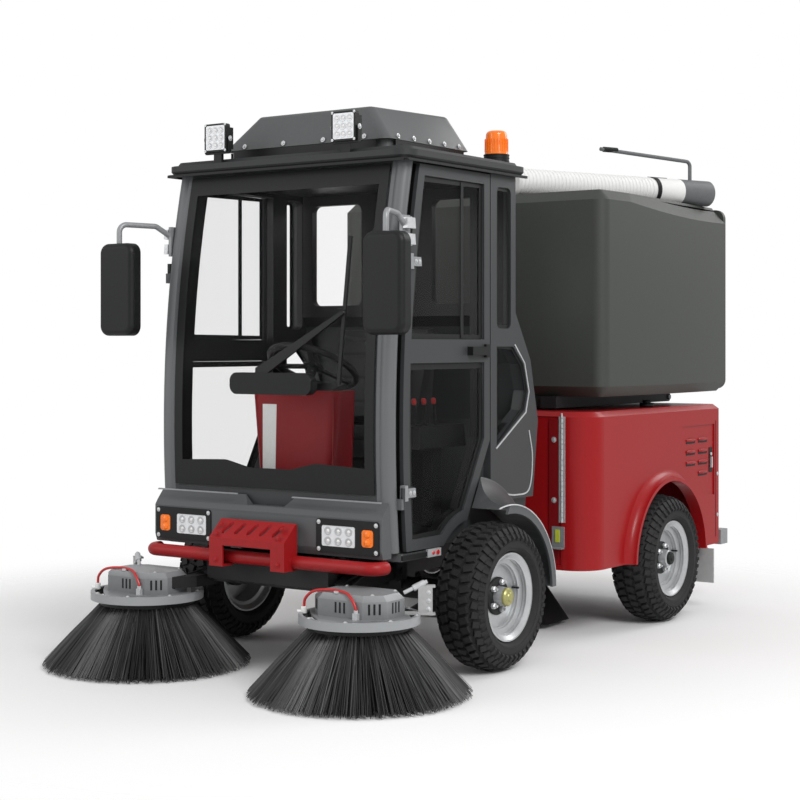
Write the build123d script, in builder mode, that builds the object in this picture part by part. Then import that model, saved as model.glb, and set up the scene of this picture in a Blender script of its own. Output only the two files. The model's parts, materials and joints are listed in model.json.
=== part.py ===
from build123d import *
import os
from math import cos, radians, sin

os.makedirs("parts", exist_ok=True)

# Articulated road sweeper, in millimetres. +Z is up, -Y is forward and +X is the machine's own left side.
# The origin is on the ground, at the middle of the whole length and width.

# Driving stations, along the machine
WHEELBASE = 1436
BRUSH_AHEAD = 690  # brush centres, ahead of the front axle
BRUSH_R = 412  # at the bristles' tips
TAIL = 704  # rear face, behind the rear axle
FRONT_Y = (BRUSH_AHEAD + BRUSH_R - WHEELBASE - TAIL) / 2
REAR_Y = FRONT_Y + WHEELBASE
PIVOT = 645  # articulation pin, behind the front axle
SIDES = {"left": 1, "right": -1}

# Clearances
RUNNING = 0.3  # a pin in its bore
SEAT = 0.3  # a piece that rests against another
GAP = 6  # a moving panel beside a fixed one

# Wheels
TYRE_R = 290
TYRE_W = 206
TRACK = 1314
RIM_R = 172
BEAD_R = 157
RIM_SUNK = 20  # rim lips, in from the tyre's faces
RIM_W = TYRE_W - 2 * RIM_SUNK
FLANGE_T = 8
FLANGE_RUN = 18
DISC_IN = 62  # wheel disc's outer face, in from the rim's outer lip
DISC_T = 8
STUB_R = 24
HUB_R = 40
STUD_PCD = 112
STUD_R = 7
STUDS = 5

# Cab
WHEEL_BESIDE_CAB = 14
CAB_HALF = (TRACK - TYRE_W) / 2 - WHEEL_BESIDE_CAB
SKIN = 34  # doors and quarter panels stand this far out of the cab's frame
DOOR_T = 28
CAB_WALL = 34
FLOOR_Z = 500
ROOF_Z = 1960
SCREEN_LOW = -535  # front line, from the front axle: at the floor, its middle and the roof
SCREEN_MID = -555
SCREEN_TOP = -445
SCREEN_MID_Z = 1100
PILLAR_R = 30
PILLAR_PROUD = 8
CAB_REAR = 319
BULGE = ((CAB_REAR, 1400), (439, 1206), (500, 954), (440, FLOOR_Z))
WAIST_Z = 1245  # middle of the door's cross rail
RAIL_H = 90
GLASS_T = 6
SCREEN_HALF = CAB_HALF - 40
SCREEN_EDGE = 28  # of the windscreen that lies on its frame
SCREEN_EDGE_Z = 44
SCREEN_BASE_Z = 696
REAR_PANE = (CAB_HALF / 2, 440)
REAR_PANE_X = 0.59 * CAB_HALF
REAR_PANE_Z = 1660
QUARTER_UPPER = (227, 1620, 110, 570)
QUARTER_LOWER = ((172, 1262), (172, 862), (392, 1000), (418, 1080), (380, 1190), (300, 1262))
SILL_LOW_Z = 466
SILL_FRONT = -500
SILL_REAR = -240

# Doors, measured behind the front axle
DOOR_SETBACK = 70  # door's front edge, behind the cab's front line
DOOR_REAR = 120
DOOR_KNEE_Z = 889
DOOR_FOOT = -96
DOOR_TOP_Z = 1950
DOOR_FRAME = 42
DOOR_TYRE_GAP = 10
HINGE_OUT = 8  # hinge axis, out from the door's face
HINGE_AHEAD = 12  # and ahead of the door's front edge
HINGE_R = 9
HINGE_PIN_R = 4
HINGE_H = 40
HINGE_ZS = (700, 1560)
DOOR_OPEN_R = TYRE_R + DOOR_TYRE_GAP

# Roof and what stands on it
ROOF_HALF = 604
ROOF_FRONT = -505
ROOF_REAR = 383
ROOF_BRIM = 36
ROOF_CROWN = 16
AIRCON = (410, -352, 218)  # half width, front and rear
AIRCON_BASE_H = 48
AIRCON_COVER_H = 140
AIRCON_TOP = ((280, -290), (356, 160))  # half width and station of the top's front and rear edges
WORK_LAMP_X = 319
WORK_LAMP = 112
WORK_LAMP_Z = 2095
BEACON_X = 500
BEACON_BEHIND = 290
BEACON_R = 52
BEACON_TOP_Z = 2146
BEACON_FOOT_H = 36

# Nose, lamps and bumper
NOSE_HALF = 560
NOSE_FRONT = -605
NOSE_LOW_Z = 482
NOSE_TOP_Z = 690
LAMP_X = 406
LAMP_W = 290
LAMP_Z = 558
LAMP_H = 126
LAMP_DEPTH = 46
LENS_X = 364
LENS_W = 156
LENS_H = 78
TURN_X = 500
TURN_R = 32
BUMPER_R = 25
BUMPER_HALF = 583
BUMPER_AHEAD = 640
BUMPER_Z = 452
BUMPER_RETURN = 62  # how far its ends turn back
BUMPER_BEND_R = 44
BUMPER_ARM = ((434, 468), (424, 462))  # bottom and top of an arm, at the bar and at the tray
BUMPER_ARM_W = 28
BRACKET_HALF = 185
BRACKET_AHEAD = 705
BRACKET_T = 8
BRACKET_SLOTS = 5
BRACKET_SLOT = (50, 20)
BRACKET_SLOT_PITCH = 62
BRACKET_SLOT_TURN = 62
BRACKET_LOW_Z = 420
BRACKET_FACE_Z = 530  # top of its upright face
BRACKET_TOP_Z = 596
BRACKET_WINDOW = (118, 502)  # half width and top
TRAY_AHEAD = 585  # front face of the skid tray

# Mirrors and wiper
MIRROR_Z = 1490
MIRROR_H = 370
MIRROR_X = 655
MIRROR_AHEAD = 712
MIRROR_W = 180
MIRROR_T = 56
MIRROR_TUBE_R = 11
MIRROR_FOOT = (-478, 1690)  # bracket on the pillar: behind the front axle, and height
MIRROR_FOOT_SIZE = (50, 120, 14)  # along the cab, height, thickness
MIRROR_BEND_R = 32
WIPER_LEAN = 5
WIPER_Z = 1120
WIPER_BOX_X = 30
WIPER_BOX = (400, 84)
WIPER_BOX_T = 40
WIPER_ARM = ((-45, 60), (-20, 72), (362, 280), (368, 268), (0, 30), (-45, 30))
WIPER_BLADE_AT = (360, 280)
WIPER_BLADE = (14, 560)
WIPER_T = 10

# Inside the cab
SEAT_Z = FLOOR_Z + CAB_WALL
SEAT_HALF = 225
SEAT_FOOT = (-60, 200)  # plinth's front and rear
SEAT_SIDE = (
    (-60, 800), (-90, 815), (-90, 880), (110, 872), (190, 1330), (240, 1340), (262, 1320), (200, 860),
)
CONSOLE_TOP_Z = 1090
CONSOLE_FOOT = (330, 170)
CONSOLE_FOOT_AHEAD = 330
CONSOLE_HEAD = (430, 150)
CONSOLE_HEAD_AHEAD = 350
WHEEL_AHEAD = 340
WHEEL_TILT = 28
COLUMN_R = 20
COLUMN_H = 100
BOSS_H = 20
STEER_R = 178
STEER_GRIP_R = 14
SPOKE = (170, 24)
SPOKES = 3

# Fenders
FENDER_HALF = 745
PANEL_LOW_Z = 640  # foot of the quarter panels
FENDER_FRONT_Z = 556
FENDER_TAIL_Z = 292
FENDER_REAR = 480
ARCH_R = 338
LIP_R = 354
LIP_H = 30
FLARE_R = 458  # where the flare leaves the panel
FLARE_SHARE = 0.3  # of the way out, where the flare is hollowest
FLARE_RISE = 34

# Frame, axles and articulation
RAIL_X = 230
RAIL_W = 60
RAIL_LOW_Z = 345
RAIL_TOP_Z = 440
AXLE_R = 42
HUB_FLANGE_R = 68
PIN_R = 26
YOKE_R = 70
YOKE_T = 20
YOKE_LOW_Z = 350
YOKE_TOP_Z = 470
CROSS_W = 60  # crossmembers
FRONT_RAIL = (-540, 430)  # front and rear ends, from the front axle
FRONT_CROSS = (-500, -190, 190, 390)
CAB_MOUNTS = (-420, 330)
TRAY_HALF = 300
TRAY_SIDE = ((-540, 470), (-TRAY_AHEAD, 470), (-TRAY_AHEAD, 350), (-540, 332), (-300, 332))
REAR_RAIL = (-620, 620)  # from the rear axle
REAR_CROSS = (-590, -130, 200, 590)
POSTS_AHEAD = 560
TAIL_BAR = (80, 72)  # rear bumper's depth and height
TAIL_BAR_Z = 290
POST = 40
POWER = (640, 700, 420)

# Brushes
BRUSH_X = 523
BRUSH_TIP_Z = 4
BRISTLE_TOP_Z = 246
BRISTLE_TOP_R = 186
PLATE_H = 16
GUARD_R = 222
GUARD_LOW_Z = 266
GUARD_H = 32
GUARD_T = 8
COVER = (320, 236)  # motor cover, across and along
COVER_CHAMFER = 62
COVER_BEVEL = 20
COVER_TOP_Z = 380
ARM_X = 330
ARM_W = 46
ARM_PIVOT = -200  # lift axis, from the front axle
ARM_PIVOT_Z = 385
ARM_PIN_R = 14

# Rear body, measured from the rear axle
BODY_HALF = 700
BODY_FRONT = -716
BODY_REAR = 600
BODY_LOW_Z = 300
BODY_TOP_Z = 980
BODY_CORNER_R = 130
BODY_TAIL_R = 45
BODY_WALL = 12
BODY_ARCH_R = 355
BODY_FLARE_OUT = 45  # how far the arch's lip stands out of the side
BODY_FLARE_RISE = 65  # height of the flare over the arch
BODY_LIP = (16, -4)  # upright lip: its top and bottom from the arch's radius
BODY_FLARE_HOLLOW = (12 / 45, 12 / 49)  # middle of the flare, as shares of its reach and rise
BODY_LIP_HALF = BODY_HALF + BODY_FLARE_OUT
BODY_FLARE_R = BODY_ARCH_R + BODY_FLARE_RISE
BODY_BEVEL = 22
RECESS = 6
LOUVRE_RECESS = ((180, 884), (162, 720), (420, 556), (550, 540), (550, 884))
COVER_EDGE_X = 560  # where the side covers end on the front face
TONGUE_PASSAGE = (440, 220)  # half width and height of the way for the tongue
PASSAGE = 5  # round what goes through the body's walls

# Mudflaps
FLAP_BEHIND = 420
FLAP_LOW_Z = 130

# Suction mouth
MOUTH_LOW_Z = 22
MOUTH_TOP_Z = 200
DUCT_R = 75
MOUTH = (760, 240)
MOUTH_AHEAD = 420
THROAT = (300, 180)
THROAT_AHEAD = 270

# Hitch holes in the rear bumper
HITCH_X = 160
HITCH_H = 40
HITCH_R = 6.5
HITCH_Z = 326

# Hopper, measured from the rear axle
HOPPER_FRONT = -592
HOPPER_HALF = 700
HOPPER_BULGE = 25
HOPPER_LOW_Z = 1042
HOPPER_TOP_Z = 1945
HOPPER_BEVEL = 45
HOPPER_CORNER_R = 55
SIDE_BEVEL = 108
SIDE_BEVEL_IN = 70
HOPPER_WALL = 14
HOPPER_DOOR_T = 26
TIP_BEHIND = 540
TIP_Z = 1012
TIP_PIN_R = 12
TIP_END_R = 22
TIP_POST_X = 330
TIP_RAIL_X = 420
TIP_RAIL_W = 80
DOOR_KNUCKLE_R = 10
DOOR_KNUCKLE_X = 350
DOOR_PIN_R = 5

# Hose
HOSE_R = 62
HOSE_RISE = SEAT
HOSE_FROM = (200, 920)  # across, and behind the front axle
HOSE_TO = (575, 1835)
HANDLE_R = 9
HANDLE_RISE = 178
HANDLE_L = 560
NOZZLE_BORE_R = 54
NOZZLE_BORE_L = 90
NOZZLE_L = 190


lip_x = (TRACK + TYRE_W) / 2 - RIM_SUNK


def save(piece, name):
    piece.part.label = name
    export_step(piece.part, f"parts/{name}.step")


def side_plane(station_y, x=0.0):
    """Side view: across is Y from the station, up is Z, and it faces +X."""
    return Plane(origin=(x, station_y, 0), x_dir=(0, 1, 0), z_dir=(1, 0, 0))


def front_plane(y):
    """Front view: across is X, up is Z, and it faces -Y."""
    return Plane(origin=(0, y, 0), x_dir=(1, 0, 0), z_dir=(0, -1, 0))


def wheel_plane(station_y):
    """Half section of a wheel: across is X, up is the radius."""
    return Plane(origin=(0, station_y, TYRE_R), x_dir=(1, 0, 0), z_dir=(0, -1, 0))


def wheel_axis(station_y):
    return Axis((0, station_y, TYRE_R), (1, 0, 0))


def front_line(shift=0.0):
    """The cab's curved front line in side view, moved back by shift."""
    return ThreePointArc(
        (SCREEN_LOW + shift, FLOOR_Z),
        (SCREEN_MID + shift, SCREEN_MID_Z),
        (SCREEN_TOP + shift, ROOF_Z),
    )


def cab_outline(inset=0.0):
    """Side view of the cab, with its front curve and the bulge behind the seat."""
    with BuildSketch() as outline:
        with BuildLine():
            front_line()
            Polyline((SCREEN_TOP, ROOF_Z), (CAB_REAR, ROOF_Z), *BULGE, (SCREEN_LOW, FLOOR_Z))
        make_face()
        if inset:
            offset(amount=-inset, kind=Kind.INTERSECTION, mode=Mode.REPLACE)
    return outline.sketch


def door_outline(inset=0.0):
    """Side view of a door, whose rear foot is cut round the wheel."""
    with BuildSketch() as outline:
        with BuildLine():
            line = front_line(DOOR_SETBACK)
            Polyline(line @ 0, (DOOR_FOOT, FLOOR_Z), (DOOR_REAR, DOOR_KNEE_Z), (DOOR_REAR, ROOF_Z), line @ 1)
        make_face()
        with Locations((0, TYRE_R)):
            Circle(DOOR_OPEN_R, mode=Mode.SUBTRACT)
        with Locations((0, DOOR_TOP_Z + 100)):
            Rectangle(2000, 200, mode=Mode.SUBTRACT)
        if inset:
            offset(amount=-inset, kind=Kind.INTERSECTION, mode=Mode.REPLACE)
    return outline.sketch


def quarter_windows(inset=0.0):
    """Side view of the two windows behind a door."""
    across, up, width, height = QUARTER_UPPER
    with BuildSketch() as windows:
        with Locations((across, up)):
            RectangleRounded(width, height, 25)
        with BuildLine():
            Polyline(*QUARTER_LOWER, close=True)
        make_face()
        if inset:
            offset(amount=-inset, kind=Kind.INTERSECTION, mode=Mode.REPLACE)
    return windows.sketch


# Cab frame: floor, pillars, rear wall and the bulge behind the seat
door_face = CAB_HALF + SKIN
skin_front = DOOR_REAR + GAP
hinge_x = door_face + HINGE_OUT
hinge_y = FRONT_Y + SCREEN_MID + DOOR_SETBACK - HINGE_AHEAD
with BuildPart() as cab_shell:
    with BuildSketch(side_plane(FRONT_Y)):
        add(cab_outline())
    extrude(amount=CAB_HALF, both=True)
    with BuildSketch(side_plane(FRONT_Y)):
        add(cab_outline(CAB_WALL))
    extrude(amount=CAB_HALF - CAB_WALL, both=True, mode=Mode.SUBTRACT)
    # quarter panels, flush with the doors
    with BuildSketch(side_plane(FRONT_Y)):
        add(cab_outline())
        with Locations((skin_front - 1000, 1500)):
            Rectangle(2000, 3000, mode=Mode.SUBTRACT)
        with Locations((skin_front, 0)):
            Rectangle(2000, 2 * PANEL_LOW_Z, mode=Mode.SUBTRACT)
    extrude(amount=door_face, both=True)
    with BuildSketch(side_plane(FRONT_Y)):
        add(cab_outline(CAB_WALL))
    extrude(amount=CAB_HALF - CAB_WALL, both=True, mode=Mode.SUBTRACT)
    # doorways
    with BuildSketch(side_plane(FRONT_Y)):
        add(door_outline(DOOR_FRAME))
    extrude(amount=door_face, both=True, mode=Mode.SUBTRACT)
    # windscreen opening
    with BuildSketch(front_plane(FRONT_Y + SCREEN_MID - 100)):
        with Locations((0, (SCREEN_BASE_Z + ROOF_Z) / 2)):
            RectangleRounded(2 * (SCREEN_HALF - SCREEN_EDGE), ROOF_Z - SCREEN_BASE_Z - 2 * SCREEN_EDGE_Z, 50)
    extrude(amount=-300, mode=Mode.SUBTRACT)
    # rear panes and quarter windows
    with BuildSketch(front_plane(FRONT_Y + CAB_REAR + 60)):
        with Locations((REAR_PANE_X, REAR_PANE_Z), (-REAR_PANE_X, REAR_PANE_Z)):
            RectangleRounded(*REAR_PANE, 30)
    extrude(amount=160, mode=Mode.SUBTRACT)
    with BuildSketch(side_plane(FRONT_Y)):
        add(quarter_windows())
    extrude(amount=door_face, both=True, mode=Mode.SUBTRACT)
    # round front pillars, along the front line
    for side in SIDES.values():
        with BuildLine(side_plane(FRONT_Y, side * (CAB_HALF - 2))) as pillar_line:
            front_line(PILLAR_R - PILLAR_PROUD)
        with BuildSketch(Plane(origin=pillar_line.line @ 0, z_dir=pillar_line.line % 0)):
            Circle(PILLAR_R)
        sweep(path=pillar_line.line)
    split(bisect_by=Plane.XY.offset(ROOF_Z), keep=Keep.BOTTOM)
    split(bisect_by=Plane.XY.offset(FLOOR_Z), keep=Keep.TOP)
    # sills under the doors
    sill_mid = FRONT_Y + (SILL_FRONT + SILL_REAR) / 2
    for side in SIDES.values():
        with BuildSketch(Plane.XY.offset(SILL_LOW_Z)):
            with Locations((side * (CAB_HALF - 30), sill_mid)):
                Rectangle(60, SILL_REAR - SILL_FRONT)
        extrude(amount=FLOOR_Z - SILL_LOW_Z)
        with BuildSketch(Plane.XY.offset(SILL_LOW_Z)):
            with Locations((side * (CAB_HALF + SKIN / 2), sill_mid)):
                Rectangle(SKIN, SILL_REAR - SILL_FRONT)
        extrude(amount=FLOOR_Z - GAP - SILL_LOW_Z)
        # fixed halves of the door hinges, with their pins
        for hinge_z in HINGE_ZS:
            with BuildSketch(Plane.XY.offset(hinge_z - HINGE_H)):
                with Locations((side * hinge_x, hinge_y)):
                    Circle(HINGE_R)
                with Locations((side * (hinge_x - 14), hinge_y - HINGE_R)):
                    Rectangle(28 + HINGE_R, 2 * HINGE_R)
            extrude(amount=HINGE_H - SEAT)
            with BuildSketch(Plane.XY.offset(hinge_z - SEAT)):
                with Locations((side * hinge_x, hinge_y)):
                    Circle(HINGE_PIN_R)
            extrude(amount=HINGE_H)
save(cab_shell, "cab_shell")

# Glass fixed in the cab: windscreen laid on its frame, rear panes and quarter windows
screen_out = -GLASS_T - SEAT
with BuildPart() as cab_glass:
    with BuildSketch(side_plane(FRONT_Y)):
        with BuildLine():
            outer = front_line(screen_out)
            inner = front_line(-SEAT)
            Line(outer @ 0, inner @ 0)
            Line(outer @ 1, inner @ 1)
        make_face()
    extrude(amount=CAB_HALF, both=True)
    with BuildSketch(front_plane(FRONT_Y + SCREEN_MID - 100)):
        with Locations((0, (SCREEN_BASE_Z + ROOF_Z) / 2)):
            RectangleRounded(2 * SCREEN_HALF, ROOF_Z - SCREEN_BASE_Z - 16, 30)
    extrude(amount=-300, mode=Mode.INTERSECT)
    with BuildSketch(front_plane(FRONT_Y + CAB_REAR - CAB_WALL / 2)):
        with Locations((REAR_PANE_X, REAR_PANE_Z), (-REAR_PANE_X, REAR_PANE_Z)):
            RectangleRounded(*[size - 2 * SEAT for size in REAR_PANE], 30)
    extrude(amount=GLASS_T)
    for side in SIDES.values():
        with BuildSketch(side_plane(FRONT_Y, side * (door_face - 12))):
            add(quarter_windows(SEAT))
        extrude(amount=-side * GLASS_T)
save(cab_glass, "cab_glass")

# Roof: a thin brim all round, and a crowned top
with BuildPart() as cab_roof:
    roof_mid = (ROOF_FRONT + ROOF_REAR) / 2
    roof_len = ROOF_REAR - ROOF_FRONT
    with BuildSketch(Plane.XY.offset(ROOF_Z)):
        with Locations((0, FRONT_Y + roof_mid)):
            RectangleRounded(2 * ROOF_HALF, roof_len, 70)
    extrude(amount=ROOF_BRIM)
    with BuildSketch(Plane.XY.offset(ROOF_Z + ROOF_BRIM)):
        with Locations((0, FRONT_Y + roof_mid)):
            RectangleRounded(2 * ROOF_HALF - 40, roof_len - 40, 60)
    extrude(amount=ROOF_CROWN, taper=35)
    chamfer(cab_roof.faces().sort_by(Axis.Z)[0].edges(), 14)
save(cab_roof, "cab_roof")
roof_top = ROOF_Z + ROOF_BRIM + ROOF_CROWN

# Roof air conditioner: a vented base under a bevelled cover
with BuildPart() as aircon_unit:
    half, front, rear = AIRCON
    mid = FRONT_Y + (front + rear) / 2
    with BuildSketch(Plane.XY.offset(roof_top)):
        with Locations((0, mid)):
            RectangleRounded(2 * half - 24, rear - front - 24, 40)
    extrude(amount=AIRCON_BASE_H)
    cover_z = roof_top + AIRCON_BASE_H
    with BuildSketch(Plane.XY.offset(cover_z)):
        with Locations((0, mid)):
            Rectangle(2 * half + 12, rear - front + 12)
    with BuildSketch(Plane.XY.offset(cover_z + AIRCON_COVER_H)):
        with BuildLine():
            (front_half, top_front), (rear_half, top_rear) = AIRCON_TOP
            Polyline(
                (-front_half, FRONT_Y + top_front), (front_half, FRONT_Y + top_front),
                (rear_half, FRONT_Y + top_rear), (-rear_half, FRONT_Y + top_rear), close=True,
            )
        make_face()
    loft()
    corners = [e for e in aircon_unit.edges() if cover_z + 30 < e.center().Z < cover_z + AIRCON_COVER_H - 30]
    fillet(corners, 34)
    fillet(aircon_unit.edges().group_by(Axis.Z)[-1], 22)
save(aircon_unit, "aircon_unit")

# Nose panel below the windscreen
with BuildPart() as nose_panel:
    with BuildSketch(side_plane(FRONT_Y)):
        with BuildLine():
            Polyline(
                (SCREEN_LOW + 40, NOSE_LOW_Z),
                (NOSE_FRONT + 10, NOSE_LOW_Z),
                (NOSE_FRONT, NOSE_LOW_Z + 30),
                (NOSE_FRONT, NOSE_TOP_Z - 62),
                (NOSE_FRONT + 12, NOSE_TOP_Z - 44),
                (NOSE_FRONT + 46, NOSE_TOP_Z - 4),
                (SCREEN_LOW + 40, NOSE_TOP_Z),
                close=True,
            )
        make_face()
        with Locations((-PILLAR_PROUD - SEAT, 0)):
            add(cab_outline(), mode=Mode.SUBTRACT)
            with Locations((SCREEN_LOW + 50, FLOOR_Z)):
                Rectangle(100, 100, mode=Mode.SUBTRACT)
    extrude(amount=NOSE_HALF, both=True)
    # lamp pockets and the dip in the middle
    with BuildSketch(front_plane(FRONT_Y + NOSE_FRONT)):
        with Locations((LAMP_X, LAMP_Z), (-LAMP_X, LAMP_Z)):
            RectangleRounded(LAMP_W, LAMP_H, 12)
        with BuildLine():
            Polyline((-130, NOSE_TOP_Z + 5), (-90, 650), (90, 650), (130, NOSE_TOP_Z + 5), close=True)
        make_face()
    extrude(amount=-100, mode=Mode.SUBTRACT)
save(nose_panel, "nose_panel")

# Black lamp housings: two headlamps, two work lamps and the beacon's foot
lamp_y = FRONT_Y + NOSE_FRONT - 4
work_y = FRONT_Y + ROOF_FRONT + 10
work_face = work_y - 22
with BuildPart() as lamp_housings:
    with BuildSketch(front_plane(lamp_y)):
        with Locations((LAMP_X, LAMP_Z), (-LAMP_X, LAMP_Z)):
            RectangleRounded(LAMP_W - 2 * SEAT, LAMP_H - 2 * SEAT, 12)
    extrude(amount=-LAMP_DEPTH)
    with BuildSketch(front_plane(lamp_y)):
        with Locations((LENS_X, LAMP_Z), (-LENS_X, LAMP_Z)):
            RectangleRounded(LENS_W, LENS_H, 8)
        with Locations((TURN_X, LAMP_Z), (-TURN_X, LAMP_Z)):
            RectangleRounded(1.6 * TURN_R, 2 * TURN_R, 12)
    extrude(amount=-20, mode=Mode.SUBTRACT)
    for side in SIDES.values():
        with BuildSketch(front_plane(work_face)):
            with Locations((side * WORK_LAMP_X, WORK_LAMP_Z)):
                RectangleRounded(WORK_LAMP, WORK_LAMP, 10)
        extrude(amount=-26)
        with BuildSketch(front_plane(work_face)):
            with Locations((side * WORK_LAMP_X, WORK_LAMP_Z)):
                RectangleRounded(WORK_LAMP - 14, WORK_LAMP - 14, 8)
        extrude(amount=-8, mode=Mode.SUBTRACT)
        with BuildSketch(Plane.XY.offset(ROOF_Z + ROOF_BRIM + SEAT)):
            with Locations((side * WORK_LAMP_X, work_y)):
                Rectangle(40, 14)
        extrude(amount=WORK_LAMP_Z - ROOF_Z - ROOF_BRIM - SEAT)
    with BuildSketch(Plane.XY.offset(roof_top + SEAT)):
        with Locations((BEACON_X, FRONT_Y + BEACON_BEHIND)):
            Circle(BEACON_R)
    extrude(amount=BEACON_FOOT_H)
save(lamp_housings, "lamp_housings")

with BuildPart() as lamp_lenses:
    with BuildSketch(front_plane(lamp_y + 2)):
        with Locations((LENS_X, LAMP_Z), (-LENS_X, LAMP_Z)):
            RectangleRounded(LENS_W - 1, LENS_H - 1, 8)
    extrude(amount=-17.7)
    with BuildSketch(front_plane(work_face)):
        with Locations((WORK_LAMP_X, WORK_LAMP_Z), (-WORK_LAMP_X, WORK_LAMP_Z)):
            RectangleRounded(WORK_LAMP - 15, WORK_LAMP - 15, 8)
    extrude(amount=-7.7)
save(lamp_lenses, "lamp_lenses")

with BuildPart() as amber_lamps:
    with BuildSketch(front_plane(lamp_y - 3)):
        with Locations((TURN_X, LAMP_Z), (-TURN_X, LAMP_Z)):
            RectangleRounded(1.6 * TURN_R - 1, 2 * TURN_R - 1, 12)
    extrude(amount=-22.7)
    dome_z = roof_top + BEACON_FOOT_H + 2 * SEAT
    with BuildSketch(Plane.XY.offset(dome_z)):
        with Locations((BEACON_X, FRONT_Y + BEACON_BEHIND)):
            Circle(BEACON_R - 3)
    extrude(amount=BEACON_TOP_Z - dome_z, taper=4)
    fillet(amber_lamps.edges().group_by(Axis.Z)[-1], 18)
save(amber_lamps, "amber_lamps")

# Bumper: a round bar, and a folded plate bracket with a window and slanted slots
with BuildPart() as bumper:
    bar_y = FRONT_Y - BUMPER_AHEAD
    with BuildLine() as bar_line:
        FilletPolyline(
            (-BUMPER_HALF + BUMPER_R, bar_y + BUMPER_RETURN, BUMPER_Z),
            (-BUMPER_HALF + BUMPER_R, bar_y, BUMPER_Z),
            (BUMPER_HALF - BUMPER_R, bar_y, BUMPER_Z),
            (BUMPER_HALF - BUMPER_R, bar_y + BUMPER_RETURN, BUMPER_Z),
            radius=BUMPER_BEND_R,
        )
    with BuildSketch(Plane(origin=bar_line.line @ 0, z_dir=bar_line.line % 0)):
        Circle(BUMPER_R)
    sweep(path=bar_line.line)
    front = BUMPER_AHEAD - BRACKET_AHEAD
    tray_gap = BUMPER_AHEAD - TRAY_AHEAD - SEAT
    with BuildSketch(side_plane(bar_y)):
        with BuildLine():
            Polyline(
                (0, BRACKET_LOW_Z), (front, BRACKET_LOW_Z), (front, BRACKET_FACE_Z), (8, BRACKET_TOP_Z),
                (13, BRACKET_TOP_Z - BRACKET_T), (front + BRACKET_T, BRACKET_FACE_Z - 6),
                (front + BRACKET_T, BRACKET_LOW_Z + BRACKET_T), (0, BRACKET_LOW_Z + BRACKET_T), close=True,
            )
        make_face()
    extrude(amount=BRACKET_HALF, both=True)
    with BuildSketch(front_plane(bar_y + front)):
        window_half, window_top = BRACKET_WINDOW
        with Locations((0, BRACKET_LOW_Z)):
            Rectangle(2 * window_half, 2 * (window_top - BRACKET_LOW_Z))
    extrude(amount=-BRACKET_T - 2, mode=Mode.SUBTRACT)
    with BuildSketch(Plane.XY.offset(BRACKET_LOW_Z)):
        with Locations((0, bar_y + front / 2)):
            Rectangle(2 * window_half, 2 - front)
    extrude(amount=BRACKET_T, mode=Mode.SUBTRACT)
    with BuildSketch(Plane.XY.offset(700)):
        with Locations((0, bar_y + front + 40)):
            with GridLocations(BRACKET_SLOT_PITCH, 0, BRACKET_SLOTS, 1):
                SlotOverall(*BRACKET_SLOT, rotation=BRACKET_SLOT_TURN)
    extrude(amount=-220, mode=Mode.SUBTRACT)
    for side in SIDES.values():
        with BuildSketch(side_plane(bar_y, side * BRACKET_HALF)):
            with BuildLine():
                Polyline(
                    (14, BRACKET_LOW_Z), (front, BRACKET_LOW_Z), (front, BRACKET_FACE_Z),
                    (13, BRACKET_TOP_Z - 4), close=True,
                )
            make_face()
        extrude(amount=-side * BRACKET_T)
        # arms back to the frame
        with BuildSketch(side_plane(bar_y, side * (RAIL_X + BUMPER_ARM_W / 2))):
            at_bar, at_tray = BUMPER_ARM
            with BuildLine():
                Polyline(
                    (0, at_bar[0]), (0, at_bar[1]), (tray_gap, at_tray[1]), (tray_gap, at_tray[0]),
                    close=True,
                )
            make_face()
        extrude(amount=-side * BUMPER_ARM_W)
save(bumper, "bumper")

# Front fenders: an arch over each wheel that flares out of the cab's side
with BuildPart() as fenders:
    for side in SIDES.values():
        with BuildSketch(wheel_plane(FRONT_Y)):
            with BuildLine():
                root = side * (door_face + SEAT)
                lip = side * FENDER_HALF
                hollow = (root + FLARE_SHARE * (lip - root), LIP_R + FLARE_RISE)
                ThreePointArc((root, FLARE_R), hollow, (lip, LIP_R))
                Line((lip, LIP_R), (lip, LIP_R - LIP_H))
                Line((lip, LIP_R - LIP_H), (lip - side * 12, LIP_R - LIP_H))
                Line((lip - side * 12, LIP_R - LIP_H), (lip - side * 12, ARCH_R))
                Line((lip - side * 12, ARCH_R), (root, ARCH_R))
                Line((root, ARCH_R), (root, FLARE_R))
            make_face()
        revolve(axis=wheel_axis(FRONT_Y))
    with BuildSketch(side_plane(FRONT_Y)):
        slope = (DOOR_REAR - DOOR_FOOT) / (DOOR_KNEE_Z - FLOOR_Z)
        edge = DOOR_FOOT + slope * (FENDER_FRONT_Z - FLOOR_Z) + GAP + 4
        with BuildLine():
            Polyline(
                (edge, FENDER_FRONT_Z), (DOOR_REAR + GAP, DOOR_KNEE_Z - 8), (FENDER_REAR, DOOR_KNEE_Z - 8),
                (FENDER_REAR, FENDER_TAIL_Z), (edge, FENDER_TAIL_Z), close=True,
            )
        make_face()
    extrude(amount=FENDER_HALF + 1, both=True, mode=Mode.INTERSECT)
save(fenders, "fenders")

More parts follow.
